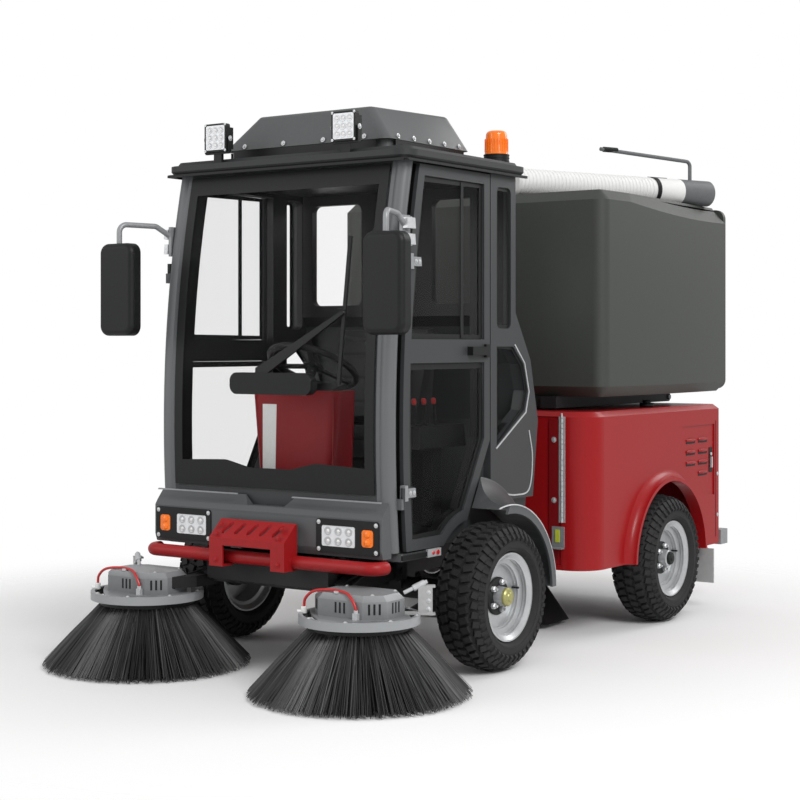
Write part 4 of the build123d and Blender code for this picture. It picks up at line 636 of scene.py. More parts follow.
FLANGE = ((0, 0.074), (0.007, 0.074), (0.010, 0.071), (0.010, 0.038))  # along the axle, and radius
NUT = ((0, 0.0125), (0.012, 0.0125), (0.015, 0.010), (0.015, 0.006), (0.024, 0.0055), (0.024, 0))
CAP_R = {"front": 0.036, "rear": 0.030}
CAP = ((-0.012, 1), (0.004, 1), (0.010, 0.86), (0.012, 0.5), (0.016, 0.4), (0.018, 0))  # radius in shares
BARREL_RING = ((-0.003, 0.003), (-0.0015, -0.001), (0.0015, -0.001), (0.003, 0.003))


def make_hub(axle, side_name, side, station):
    """Black flange with a cast cap and nuts, and stepped rings on the rim's barrel."""
    outward = (side, 0, 0)
    face = abs(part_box(f"tyre_{axle}_{side_name}")[1 if side > 0 else 0].x)
    lip = face - RIM_LIP_IN
    disc = lip - DISC_IN

    def at(x):
        return Vector((side * x, station, WHEEL_R))

    flange, cap, nuts, rings, valve = blanks(5)
    add_lathe(flange, FLANGE, at(disc + 0.0005), outward, 40)
    add_lathe(cap, [(x, CAP_R[axle] * r) for x, r in CAP], at(disc + HUB_OUT), outward, 32)
    for k in range(5):
        add_lathe(nuts, NUT, at(disc + 0.010) + around(2 * pi * k / 5, STUD_CIRCLE_R), outward, 6)
    for x, radius in ((lip - 0.014, 0.1475), (lip - 0.026, 0.1465), (disc + 0.010, 0.124)):
        add_lathe(rings, [(dx, radius + dr) for dx, dr in BARREL_RING], at(x), outward, 64)
    add_cylinder(valve, at(disc + 0.002) + Vector((0, 0.112, 0.02)), (side, 0.25, 0), 0.004, 0.03, 8)
    tail = f"_{axle}_{side_name}"
    new_pieces("wheel" + tail, (
        ("hub_flange", flange, DARK),
        ("hub_cap", cap, GOLD if axle == "front" else DARK, None),
        ("wheel_nuts", nuts, ZINC, "metal_grey", False),
        ("rim_rings", rings, SILVER),
        ("valve", valve, DARK),
    ), tail)


for axle, station in (("front", FRONT), ("rear", REAR)):
    for side_name, side in SIDES:
        make_tyre(axle, side_name, station)
        make_hub(axle, side_name, side, station)


# Brushes: tufts of bristles in rings, round a dark core

BRISTLE_RINGS = ((0.148, 0.290), (0.162, 0.330), (0.173, 0.368), (0.181, 0.395), (0.185, 0.411))
BRISTLES_PER_RING = 620
TUFTS = 62
BRUSH_TIP_R = 0.4115
BRUSH_CORE = (
    (0, 0), (0, 0.186), (0.016, 0.186), (0.016, 0.150), (0.20, 0.315), (0.235, 0.35), (0.16, 0.24),
    (0.03, 0.12), (0.03, 0),
)  # down from the plate's top, and radius


def make_bristles(side_name):
    low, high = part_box(f"brush_{side_name}")
    centre = (low + high) / 2
    top = high.z - 0.016
    rng = random.Random(11 if side_name == "left" else 12)
    bm, core = blanks(2)
    for ring, (root, tip) in enumerate(BRISTLE_RINGS):
        for k in range(BRISTLES_PER_RING):
            tuft = 2 * pi * (round(k * TUFTS / BRISTLES_PER_RING) + 0.5 * (ring % 2)) / TUFTS
            a = tuft + rng.uniform(-0.016, 0.016)
            bend = tuft + rng.uniform(-0.062, 0.062)
            reach = min(tip * rng.uniform(0.955, 1.0), BRUSH_TIP_R)
            drop = low.z + rng.uniform(0.0, 0.016) + (BRUSH_TIP_R - reach) * 0.12
            start = Vector((centre.x + root * cos(a), centre.y + root * sin(a), top))
            end = Vector((centre.x + reach * cos(bend), centre.y + reach * sin(bend), drop))
            middle = start.lerp(end, 0.5) + Vector((cos(a), sin(a), 0)) * 0.003
            width = rng.uniform(0.0013, 0.0024)
            tangent = Vector((-sin(a), cos(a), 0))
            outward = Vector((cos(a), sin(a), 0.8)).normalized()
            rings = []
            for p, w in ((start, width), (middle, width), (end, width * 0.8)):
                rings.append([bm.verts.new(p + way * w) for way in (tangent, -tangent, outward)])
            join_rings(bm, rings)
            bm.faces.new(rings[-1])
    new_piece(f"bristles_{side_name}", bm, BRISTLE, f"brush_{side_name}", smooth=False)
    add_lathe(core, BRUSH_CORE, (centre.x, centre.y, high.z), (0, 0, -1), 64)
    plate = new_piece(f"brush_core_{side_name}", core, DARK, f"brush_{side_name}", "bristle")
    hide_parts(f"brush_{side_name}")


for side_name, side in SIDES:
    make_bristles(side_name)


# Motor covers: vent slots, spray hose and its fittings

COVER_X = 0.523  # middle of a motor cover
COVER_HALF = (0.160, 0.118)
COVER_CUT = 0.031  # middle of a chamfered corner, in from the sides
SLOT_SIZE = (0.0012, 0.0075, 0.038)
SLOT_PITCH = 0.019
SLOT_DROP = 0.046  # middle of a slot, below the cover's top
GUARD_BOLTS = (0.2105, 0.298)  # radius and height
MOTOR_LINE = (
    (0.30, FRONT - 0.30, 0.395, 0.03), (0.315, FRONT - 0.42, 0.392, 0.03), (0.34, FRONT - 0.54, 0.366, 0.03),
)  # place of the first line, and the second one's distance from it


def make_cover_slots(slots, middle):
    """Three upright slots in each face and each cut corner of a motor cover."""
    across, along = COVER_HALF
    faces = [(0, -along, 0, -1), (across, 0, 1, 0), (-across, 0, -1, 0), (0, along, 0, 1)]
    for sx, sy in CORNERS:
        faces.append((sx * (across - COVER_CUT), sy * (along - COVER_CUT), sx * 0.707, sy * 0.707))
    for face_x, face_y, normal_x, normal_y in faces:
        normal = Vector((normal_x, normal_y, 0))
        beside = Vector((-normal_y, normal_x, 0))
        for k in (-1, 0, 1):
            at = middle + Vector((face_x, face_y, -SLOT_DROP)) + beside * k * SLOT_PITCH
            add_box(slots, SLOT_SIZE, at + normal * 0.0003, axes(normal, beside, UP))


def make_spray_line(hose, ends, fitting, middle):
    """Water line over a cover, from a fitting at its front to a nozzle beside it."""
    x, y, top = middle
    nozzle_at = Vector((x - 0.186, y - 0.088, 0.305))
    front_y = y - COVER_HALF[1]
    fitting_at = Vector((x + 0.075, front_y - 0.006, 0.318))
    path = (
        nozzle_at + Vector((0, 0, 0.012)),
        nozzle_at + Vector((0.01, -0.004, 0.045)),
        nozzle_at + Vector((0.05, -0.006, 0.074)),
        (x - 0.07, y - 0.085, top + 0.008),
        (x + 0.01, y - 0.1, top + 0.006),
        (x + 0.055, front_y - 0.004, top - 0.012),
        fitting_at + Vector((0, -0.002, 0.02)),
        fitting_at,
    )
    add_tube(hose, smooth_path(path, 6), 0.0052, 10)
    add_cylinder(ends, nozzle_at - Vector((0, 0, 0.012)), UP, 0.011, 0.026, 14)
    add_cylinder(ends, nozzle_at - Vector((0.022, 0.012, 0.004)), (1, 0.5, 0), 0.006, 0.03, 10)
    add_box(fitting, (0.022, 0.014, 0.03), fitting_at + Vector((0, 0, -0.012)))
    add_cylinder(fitting, fitting_at, UP, 0.0085, 0.014, 6)
    add_box(fitting, (0.018, 0.018, 0.008), (x - 0.03, y - 0.0935, top + 0.004))


def make_float_strut(plate, strut, side, y):
    """Plate on a cover's outer corner, with the strut that carries the brush."""
    corner = mirrored(side, (COVER_X + 0.196, y + 0.135, 0.345))
    turn = Matrix.Rotation(radians(side * 35), 3, "Z")
    add_box(plate, (0.052, 0.007, 0.108), corner, turn)
    for dz in (-0.05, 0.05):
        add_box(plate, (0.052, 0.034, 0.007), corner + Vector((0, 0.018, dz)), turn)
    add_box(plate, (0.11, 0.034, 0.008), mirrored(side, (COVER_X + 0.165, y + 0.11, 0.300)), turn)
    foot = mirrored(side, (COVER_X + 0.13, y + 0.092, 0.372))
    along = corner + mirrored(side, (0.0, 0.012, 0.068)) - foot
    add_cylinder(strut, foot, along, 0.0075, along.length, 12)
    add_cylinder(strut, foot + along * 0.4, along, 0.012, along.length * 0.5, 14)
    for dz in (-0.03, 0.0, 0.03):
        add_bolt(strut, corner + turn @ Vector((0.012, -0.0035, dz)), turn @ Vector(AHEAD), 0.0055)


def make_cover_trim(side_name, side):
    low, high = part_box(f"brush_cover_{side_name}")
    middle = Vector((side * COVER_X, (low.y + high.y) / 2, high.z))
    slots, bolts, hose, ends, fitting, plate, strut, lines = blanks(8)
    make_cover_slots(slots, middle)
    for sx, sy in CORNERS:
        add_bolt(bolts, middle + Vector((sx * 0.108, sy * 0.07, 0)), UP, 0.005)
    radius, height = GUARD_BOLTS
    for k in range(8):
        a = radians(22.5 + 45 * k)
        add_bolt(bolts, (middle.x + radius * cos(a), middle.y + radius * sin(a), height), UP, 0.0055)
    make_spray_line(hose, ends, fitting, middle)
    make_float_strut(plate, strut, side, middle.y)
    # pressure lines from the frame to the motor
    motor_end = ((0.37, middle.y + 0.09, 0.352, 0.03), (0.40, middle.y + 0.05, 0.345, 0.02))
    for k in (0, 1):
        path = [mirrored(side, (x + step * k, y, z)) for x, y, z, step in MOTOR_LINE + motor_end]
        add_tube(lines, smooth_path(path, 6), 0.0085, 10)
    new_pieces(f"brush_arm_{side_name}", (
        ("cover_slots_", slots, DARK),
        ("cover_bolts_", bolts, ZINC),
        ("spray_hose_", hose, HOSE_RED),
        ("spray_nozzle_", ends, WHITE, None),
        ("spray_fitting_", fitting, ZINC),
        ("strut_plate_", plate, FLAP, None, False),
        ("float_strut_", strut, ZINC),
        ("motor_lines_", lines, DARK),
    ), side_name)


for side_name, side in SIDES:
    make_cover_trim(side_name, side)


# Hose: white ribbed tube, with a smooth end and a strap

RIBBED_SHARE = 0.80
RIB_PITCH = 0.021
RIB = ((0.0, -0.007), (0.22, -0.0005), (0.5, 0.0), (0.78, -0.0005), (0.98, -0.007))  # share of pitch, rise


def make_hose():
    low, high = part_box("suction_hose")
    radius = (high.z - low.z) / 2
    z = (low.z + high.z) / 2
    span = Vector((high.x - low.x, high.y - low.y, 0)).normalized()
    start = Vector((low.x + radius * span.y, low.y + radius * span.x, z))
    end = Vector((high.x - radius * span.y, high.y - radius * span.x, z))
    length = (end - start).length
    ribbed = length * RIBBED_SHARE
    profile = [(0, 0), (0, radius - 0.012)]
    x = 0.004
    while x < ribbed:
        profile += [(x + share * RIB_PITCH, radius - 0.0005 + rise) for share, rise in RIB]
        x += RIB_PITCH
    profile += [(x + 0.004, radius - 0.006), (x + 0.012, radius - 0.002)]
    profile += [(length, radius - 0.001), (length, 0)]
    bm, strap = blanks(2)
    add_lathe(bm, profile, start, end - start, 48)
    hose = new_piece("ribbed_hose", bm, WHITE, "hopper", "hose_white")
    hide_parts("suction_hose")
    direction = (end - start).normalized()
    band = [(x, radius + r) for x, r in ((-0.011, -0.002), (-0.011, 0.002), (0.011, 0.002), (0.011, -0.002))]
    add_lathe(strap, band, start + direction * (ribbed + 0.035), direction, 48)
    new_piece("hose_strap", strap, DARK, "hopper")


make_hose()


# Cab: window borders, lamps and trim

DOOR_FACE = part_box("door_glass_left")[1].x
SCREEN_HALF, SCREEN_LOW, SCREEN_HIGH = 0.494, 0.712, 1.946
CLEAR_HALF, CLEAR_HIGH = 0.452, 1.872  # clear part of the windscreen
WINDOW_BACK = FRONT + 0.078
WINDOW_EDGE = 0.112  # window's front edge, behind the cab's front line
ARCH_R = 0.342  # lower window's edge round the wheel


def make_screen_border():
    """Printed black border of the windscreen, deep at the top and with a dip at the foot."""
    bm = bmesh.new()

    def foot(x):
        rise = 0.030 * min(1.0, max(0.0, (abs(x) - 0.10) / 0.12))
        return 0.792 + rise - 0.012 * (abs(x) / CLEAR_HALF) ** 2

    def line(points):
        return [bm.verts.new((x, front_at(z, SCREEN_OUT + 0.0008), z)) for x, z in points]

    rows = 40
    for face in (-1, 1):
        previous = None
        for i in range(rows + 1):
            z = SCREEN_LOW + (SCREEN_HIGH - SCREEN_LOW) * i / rows
            pair = line(((face * SCREEN_HALF, z), (face * CLEAR_HALF, z)))
            if previous:
                bm.faces.new((previous[0], previous[1], pair[1], pair[0]))
            previous = pair
    columns = 48
    for bottom, top in ((lambda x: CLEAR_HIGH, lambda x: SCREEN_HIGH), (lambda x: SCREEN_LOW, foot)):
        previous = None
        for i in range(columns + 1):
            x = -CLEAR_HALF + 2 * CLEAR_HALF * i / columns
            z0, z1 = bottom(x), top(x)
            column = line([(x, z0 + (z1 - z0) * k / 4) for k in range(5)])
            if previous:
                for k in range(4):
                    bm.faces.new((previous[k], column[k], column[k + 1], previous[k + 1]))
            previous = column
    new_piece("screen_border", bm, DARK, "cab_unit", smooth=False)


def door_window(upper):
    """Outline of a door's window, as station and height."""
    if upper:
        points = [(front_at(z) + WINDOW_EDGE, z) for z in (1.290, 1.45, 1.60, 1.75, 1.908)]
        return points + [(WINDOW_BACK, 1.908), (WINDOW_BACK, 1.290)]
    points = [(front_at(z) + WINDOW_EDGE, z) for z in (0.542, 0.75, 0.97, 1.200)]
    points += [(WINDOW_BACK, 1.200), (WINDOW_BACK, 0.900), (FRONT - 0.076, 0.623)]
    for k in range(1, 5):
        z = 0.623 - 0.081 * k / 4
        points.append((FRONT - sqrt(ARCH_R**2 - (z - WHEEL_R) ** 2), z))
    return points


def shrink(points, inset):
    """The outline pulled in by about inset on each side."""
    spans = [(min(p[k] for p in points), max(p[k] for p in points)) for k in (0, 1)]
    middle = [sum(p[k] for p in points) / len(points) for k in (0, 1)]
    share = [1 - inset / ((high - low) / 2) for low, high in spans]
    return [tuple(middle[k] + (p[k] - middle[k]) * share[k] for k in (0, 1)) for p in points]


DOOR_SKIN = 0.574
HANDLE_Z = 1.245
HINGE_HEIGHTS = (0.720, 1.580)


def make_door_trim(side_name, side):
    normal = (side, 0, 0)
    border, handle, hinges, bolts = blanks(4)
    for upper in (True, False):
        outline = [(side * (DOOR_FACE + 0.0004), y, z) for y, z in shrink(door_window(upper), 0.010)]
        add_ribbon(border, outline, normal, 0.026, 0.0016, closed=True)
    # sliding pane's upright bar
    add_box(border, (0.006, 0.018, 0.606), (side * (DOOR_FACE + 0.002), FRONT - 0.075, 1.599))
    lock_y = FRONT + 0.092
    add_box(handle, (0.030, 0.128, 0.034), (side * (DOOR_SKIN + 0.0115), FRONT + 0.018, HANDLE_Z))
    add_box(handle, (0.014, 0.030, 0.052), (side * (DOOR_SKIN + 0.004), lock_y, HANDLE_Z))
    add_cylinder(handle, (side * (DOOR_SKIN + 0.011), lock_y, HANDLE_Z - 0.009), normal, 0.008, 0.006, 16)
    for z in HINGE_HEIGHTS:
        y = front_at(z) + 0.070
        add_box(hinges, (0.020, 0.052, 0.034), (side * (DOOR_SKIN + 0.008), y + 0.028, z), taper=0.9)
        add_box(hinges, (0.026, 0.020, 0.058), (side * (DOOR_SKIN + 0.006), y - 0.008, z), taper=0.9)
        for dy in (0.016, 0.040):
            add_bolt(bolts, (side * (DOOR_SKIN + 0.018), y + dy, z), normal, 0.0055)
    new_pieces(f"door_{side_name}", (
        ("door_seal_", border, DARK),
        ("door_handle_", handle, DARK),
        ("hinge_straps_", hinges, STEEL),
        ("hinge_bolts_", bolts, ZINC),
    ), side_name)


CAB_SKIN = 0.5742
FENDER_FACE = 0.7415
FENDER_ARCH_R = 0.3575
SEAL_X = 0.5640
# Outlines on the cab's side, as station from the front axle and height
QUARTER_LINE = ((0.165, 0.852), (0.398, 0.990), (0.424, 1.075), (0.388, 1.194), (0.310, 1.270))
SWOOSH = ((0.425, 0.915), (0.452, 0.80), (0.425, 0.672), (0.324, 0.655), (0.215, 0.668))
LOWER_QUARTER = ((0.172, 1.262), (0.172, 0.862), (0.392, 1.0), (0.418, 1.08), (0.38, 1.19), (0.3, 1.262))
UPPER_CORNERS = ((0.1, 0), (0.9, 0), (1, 0.03), (1, 0.97), (0.9, 1), (0.1, 1), (0, 0.97), (0, 0.03))
UPPER_QUARTER = [(0.172 + 0.11 * u, 1.335 + 0.57 * v) for u, v in UPPER_CORNERS]
STEP_Z = 0.482
MIRROR_FOOT = (0.590, FRONT - 0.478, 1.690)


def make_cab_trim():
    bright, dark, bolts, seals, reflectors = blanks(5)
    for face in (-1, 1):
        normal = (face, 0, 0)

        def on_side(x, points):
            return [Vector((face * x, FRONT + y, z)) for y, z in points]

        # painted highlight: a bright line round the fender's crown, where the lip catches the light
        angles = [radians(3 + (103 - 3) * k / 40) for k in range(41)]
        arch = [(FENDER_ARCH_R * cos(a), WHEEL_R + FENDER_ARCH_R * sin(a)) for a in angles]
        add_tube(bright, on_side(FENDER_FACE, arch), 0.0032, 8)
        # bright strips round the lower quarter window and on its panel
        add_ribbon(bright, on_side(CAB_SKIN, QUARTER_LINE), normal, 0.006, 0.003)
        add_ribbon(bright, smooth_path(on_side(CAB_SKIN, SWOOSH), 8), normal, 0.006, 0.0025)
        for outline in (LOWER_QUARTER, UPPER_QUARTER):
            seal = [(face * SEAL_X, FRONT + y, z) for y, z in shrink(outline, 0.006)]
            add_ribbon(seals, seal, normal, 0.018, 0.003, closed=True)
        # step strip with its reflectors, at the foot of the door
        add_box(bright, (0.010, 0.088, 0.030), (face * 0.579, FRONT - 0.292, STEP_Z))
        add_box(dark, (0.006, 0.20, 0.018), (face * 0.577, FRONT - 0.40, STEP_Z - 0.002))
        for y, radius in ((-0.272, 0.010), (-0.302, 0.007)):
            add_cylinder(reflectors, (face * 0.584, FRONT + y, STEP_Z), normal, radius, 0.004, 20)
        # mirror bracket
        foot = mirrored(face, MIRROR_FOOT)
        for dz in (0.030, -0.030):
            add_box(bright, (0.020, 0.056, 0.040), foot + Vector((face * 0.006, 0, dz)), taper=0.9)
        for dz in (-0.045, 0.045):
            add_bolt(bolts, foot + Vector((face * 0.004, 0.014, dz)), normal, 0.006)
    new_pieces("cab_unit", (
        ("cab_bright_trim_and_highlight", bright, ZINC),
        ("sill_strips", dark, DARK),
        ("cab_bolts", bolts, ZINC),
        ("quarter_seals", seals, DARK),
        ("step_reflectors", reflectors, REFLECTOR_RED),
    ))


LAMP_Z = 0.558
LAMP_X = 0.364
SPOT = ((0.0, 0.0155), (0.0014, 0.0160), (0.0018, 0.0145), (0.0004, 0.010), (0.0004, 0))
BULB = ((0.0002, 0.0072), (0.0022, 0.0066), (0.0036, 0.004), (0.0040, 0))
WORK_LAMP = (0.319, FRONT - 0.517, 2.095)
WORK_PITCH = 0.030
WORK_SPOT = ((0.0, 0.0135), (0.0016, 0.0138), (0.0018, 0.0120), (0.0004, 0.008), (0.0004, 0))
WORK_BULB = ((0.0002, 0.006), (0.0024, 0.005), (0.0034, 0))
AMBER_DOME = ((0, 0.0145), (0.006, 0.0135), (0.010, 0.0095), (0.012, 0))
BEACON = Vector((0.500, FRONT + 0.290, 2.052))
BEACON_FINS = 28
BEACON_RING = ((-0.003, 0.0515), (-0.002, 0.0535), (0.002, 0.0535), (0.003, 0.0515))


def make_work_lamp(spots, bulbs, rims, bolts, work):
    """Nine reflectors in a frame, with fins behind it and a yoke."""
    for i in (-1, 0, 1):
        for j in (-1, 0, 1):
            at = work + Vector((i * WORK_PITCH, 0, j * WORK_PITCH))
            add_lathe(spots, WORK_SPOT, at, AHEAD, 16)
            add_lathe(bulbs, WORK_BULB, at, AHEAD, 12)
    for k in range(7):
        add_box(rims, (0.0035, 0.034, 0.086), work + Vector(((k - 3) * 0.014, 0.043, 0)))
    add_box(rims, (0.124, 0.012, 0.008), work + Vector((0, 0.018, -0.060)))
    for sx in (-1, 1):
        add_box(rims, (0.006, 0.016, 0.060), work + Vector((sx * 0.0605, 0.018, -0.030)))
        add_bolt(bolts, work + Vector((sx * 0.0635, 0.018, -0.004)), (sx, 0, 0), 0.007)
    for sx, sz in CORNERS:
        add_bolt(bolts, work + Vector((sx * 0.0515, -0.0002, sz * 0.0515)), AHEAD, 0.0035, 0.003)


def make_lamp_detail():
    spots, bulbs, bolts, rims, amber, base = blanks(6)
    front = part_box("nose_panel")[0].y
    for face in (-1, 1):
        for i in (-1, 0, 1):
            for j in (-1, 1):
                at = (face * LAMP_X + i * 0.048, front - 0.0022, LAMP_Z + j * 0.0185)
                add_lathe(spots, SPOT, at, AHEAD, 20)
                add_lathe(bulbs, BULB, at, AHEAD, 14)
        for sx, sz in CORNERS:
            at = (face * 0.406 + sx * 0.132, front - 0.0042, LAMP_Z + sz * 0.050)
            add_bolt(bolts, at, AHEAD, 0.0055, 0.004)
        make_work_lamp(spots, bulbs, rims, bolts, mirrored(face, WORK_LAMP))
        for sz in (-1, 1):
            add_lathe(amber, AMBER_DOME, (face * 0.500, front - 0.003, LAMP_Z + sz * 0.0155), AHEAD, 20)
    for k in range(BEACON_FINS):
        a = 2 * pi * k / BEACON_FINS
        out = Vector((cos(a), sin(a), 0))
        at = BEACON + out * 0.0475 + Vector((0, 0, 0.034))
        add_box(amber, (0.003, 0.0045, 0.052), at, axes(out, UP.cross(out), UP), taper=0.92)
    for z in (2.020, 2.034, 2.046):
        add_lathe(base, BEACON_RING, (BEACON.x, BEACON.y, z), UP, 40)
    new_pieces("cab_unit", (
        ("lamp_reflectors", spots, SILVER),
        ("lamp_bulbs", bulbs, WHITE, None),
        ("lamp_bolts", bolts, ZINC),
        ("work_lamp_fins", rims, DARK),
        ("amber_domes", amber, AMBER),
        ("beacon_base_rings", base, DARK),
    ))


AIRCON_BASE_Z = (2.0125, 2.060)
ROOF_EDGE_Z = 1.957


def make_aircon_trim():
    low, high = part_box("aircon_unit")
    z0, z1 = AIRCON_BASE_Z
    middle = (z0 + z1) / 2
    band_height = z1 - z0 - 0.004
    stud_z = z1 + 0.014
    band, slots, studs, gutter = blanks(4)
    for face in (-1, 1):
        x = face * (high.x - 0.0035)
        add_box(band, (0.006, high.y - low.y - 0.10, band_height), (x, (low.y + high.y) / 2, middle))
        for k in range(11):
            add_box(slots, (0.008, 0.010, 0.030), (x, high.y - 0.08 - k * 0.018, middle))
        for k in range(5):
            at = (face * 0.4125, low.y + 0.07 + k * 0.108, stud_z)
            add_bolt(studs, at, (face, 0, 0.25), 0.0065, 0.006)
        pipe = (
            (0.385, high.y - 0.13, 2.022), (0.43, high.y - 0.10, 2.024), (0.455, high.y - 0.04, 2.022),
            (0.44, high.y + 0.03, 2.022), (0.40, high.y + 0.05, 2.020),
        )
        add_tube(studs, smooth_path([mirrored(face, p) for p in pipe], 6), 0.006, 8)
        add_box(gutter, (0.010, 0.86, 0.010), (face * 0.596, FRONT - 0.06, ROOF_EDGE_Z))
    add_box(band, (2 * high.x - 0.12, 0.006, band_height), (0, low.y + 0.0035, middle))
    for k in range(4):
        add_bolt(studs, ((k - 1.5) * 0.2, low.y + 0.0008, stud_z), (0, -1, 0.25), 0.0065, 0.006)
    add_box(gutter, (1.17, 0.010, 0.010), (0, FRONT - 0.497, ROOF_EDGE_Z))
    new_pieces("cab_unit", (
        ("aircon_band", band, DARK),
        ("aircon_slots", slots, FRAME_BLACK, "black_plastic", False),
        ("aircon_studs", studs, ZINC),
        ("roof_gutter", gutter, DARK),
    ))


def make_nose_trim():
    bolts, ledge = blanks(2)
    for face in (-1, 1):
        for y, z in ((-0.7053, 0.445), (-0.699, 0.545)):
            add_bolt(bolts, (face * 0.152, FRONT + y, z), AHEAD, 0.0075, 0.006)
        add_bolt(bolts, (face * 0.150, FRONT - 0.672, 0.578), (0, -0.6, 0.8), 0.007, 0.005)
        # light ledge line over the lamps
        line = [(face * x, front_at(0.69) - 0.0445, 0.6895) for x in (0.135, 0.30, 0.45, 0.552)]
        add_ribbon(ledge, line, (0, -0.65, 0.76), 0.007, 0.002)
    new_pieces("cab_unit", (("bracket_bolts", bolts, BUMPER_RED), ("nose_ledge", ledge, STEEL)))


make_screen_border()
for side_name, side in SIDES:
    make_door_trim(side_name, side)
make_cab_trim()
make_lamp_detail()
make_aircon_trim()
make_nose_trim()


# Inside the cab: console with a painted highlight stripe and a painted shade edge, dials, levers, padded
# cushions

HIGHLIGHT_STRIPE = ((-0.150, 0.60), (-0.092, 0.60), (-0.078, 1.075), (-0.150, 1.075))
DIAL = ((0, 0.026), (0.010, 0.026), (0.012, 0.023), (0.009, 0.021), (0.009, 0))
LEVER_X = 0.335
KNOB = ((0, 0.006), (0.003, 0.009), (0.014, 0.011), (0.024, 0.008), (0.026, 0))
BELT = ((0.236, FRONT + 0.215, 1.30), (0.236, FRONT + 0.15, 1.10), (0.238, FRONT + 0.09, 0.92))
CUSHION_VOXEL = 0.006
CUSHION_SWELL = 0.022
SEAM_DEPTH = 0.007


def make_console_trim():
    highlight_stripe, panel, edge, box, knobs, belt = blanks(6)
    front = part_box("console")[0].y
    # painted highlight: a white stripe down the console's front
    add_outline(highlight_stripe, HIGHLIGHT_STRIPE, 0.003, placed((0, front + 0.004, 0), (1, 0, 0), UP))
    tilt = Matrix.Rotation(radians(14), 3, "X")
    add_box(panel, (0.36, 0.11, 0.016), (0, front + 0.075, 1.096), tilt, taper=0.95)
    for k in range(3):
        add_lathe(panel, DIAL, (-0.12 + k * 0.07, front + 0.065, 1.102), (0, 0.24, 0.97), 24)
    # painted shade: a darker red line down the console's corner
    corner = ((0.195, front + 0.006, 0.60), (0.203, front + 0.002, 1.07))
    add_ribbon(edge, corner, AHEAD, 0.006, 0.003)
    add_box(box, (0.110, 0.34, 0.090), (LEVER_X, FRONT + 0.06, 0.900), taper=0.92)
    add_box(box, (0.050, 0.060, 0.345), (LEVER_X, FRONT + 0.06, 0.700))
    for k in range(3):
        foot = Vector((LEVER_X, FRONT - 0.05 + k * 0.07, 0.940))
        bend = [foot + Vector(p) for p in ((0, 0, 0), (0, -0.010, 0.05), (0.004, -0.022, 0.095))]
        add_tube(box, bend, 0.006, 8)
        add_lathe(knobs, KNOB, foot + Vector((0.004, -0.022, 0.090)), (0, -0.2, 1), 16)
    add_ribbon(belt, BELT, (1, 0, 0), 0.046, 0.003)
    new_pieces("cab_unit", (
        ("console_painted_highlight", highlight_stripe, WHITE, None),
        ("console_panel", panel, DARK),
        ("console_shaded_edge", edge, SHADED_RED, "console_red"),
        ("side_console", box, DARK),
        ("lever_knobs", knobs, HOSE_RED),
        ("seat_belt", belt, DARK),
    ))


def baked(obj):
    """Mesh of a piece with its modifiers applied."""
    mesh = bpy.data.meshes.new_from_object(obj.evaluated_get(bpy.context.evaluated_depsgraph_get()))
    obj.modifiers.clear()
    obj.data = mesh


def start_cushion(name, size, at, turn):
    bm = bmesh.new()
    bmesh.ops.create_cube(bm, size=1)
    bmesh.ops.scale(bm, vec=size, verts=bm.verts)
    bmesh.ops.bevel(bm, geom=bm.edges[:], offset=min(size) * 0.35, segments=3, affect="EDGES", profile=0.6)
    for v in bm.verts:
        v.co = turn @ v.co + Vector(at)
    obj = new_piece(name, bm, SEAT_TRIM, "cab_unit")
    remesh = obj.modifiers.new("remesh", "REMESH")
    remesh.mode = "VOXEL"
    remesh.voxel_size = CUSHION_VOXEL
    baked(obj)
    return obj


def swell(cushions):
    """Blows the cushions up a little as cloth, and caps how far a point moves."""
    before = [[v.co.copy() for v in obj.data.vertices] for obj in cushions]
    for obj in cushions:
        cloth = obj.modifiers.new("cloth", "CLOTH")
        cloth.settings.use_pressure = True
        cloth.settings.uniform_pressure_force = 4.0
        cloth.settings.effector_weights.gravity = 0.0
        cloth.settings.quality = 4
        cloth.point_cache.frame_end = 20
    for step in range(1, 21):
        bpy.context.scene.frame_set(step)
    for obj, rest in zip(cushions, before):
        baked(obj)
        for v, start in zip(obj.data.vertices, rest):
            move = v.co - start
            if move.length > CUSHION_SWELL:
                v.co = start + move.normalized() * CUSHION_SWELL
    bpy.context.scene.frame_set(1)


def sew(obj, at, turn, seams, across):
    """Draws channels across the face of a cushion, along its own X."""
    back = turn.inverted()
    inward = turn @ (UP if across == "y" else Vector(AHEAD))
    for v in obj.data.vertices:
        p = back @ (v.co - Vector(at))
        for seam in seams:
            v.co -= inward * SEAM_DEPTH * exp(-((getattr(p, across) - seam) / 0.006) ** 2)
    obj.data.shade_smooth()


def make_cushions():
    flat = Matrix.Rotation(radians(-2.3), 3, "X")
    lean = Matrix.Rotation(radians(-9.9), 3, "X")
    places = (
        ("seat_pad", (0.400, 0.195, 0.034), (0, FRONT + 0.005, 0.898), flat, (-0.045, 0.03), "y"),
        ("back_pad", (0.400, 0.034, 0.400), (0, FRONT + 0.124, 1.120), lean, (-0.1, 0.0, 0.1), "z"),
    )
    cushions = [start_cushion(name, size, at, turn) for name, size, at, turn, _, _ in places]
    swell(cushions)
    for obj, (_, _, at, turn, seams, reach) in zip(cushions, places):
        sew(obj, at, turn, seams, reach)
        smooth = obj.modifiers.new("smooth", "SUBSURF")
        smooth.levels = 1
        smooth.render_levels = 1
        baked(obj)
        obj.data.shade_smooth()


make_console_trim()
make_cushions()


# Red body: hinges of the side covers, louvres, latches and reflectors

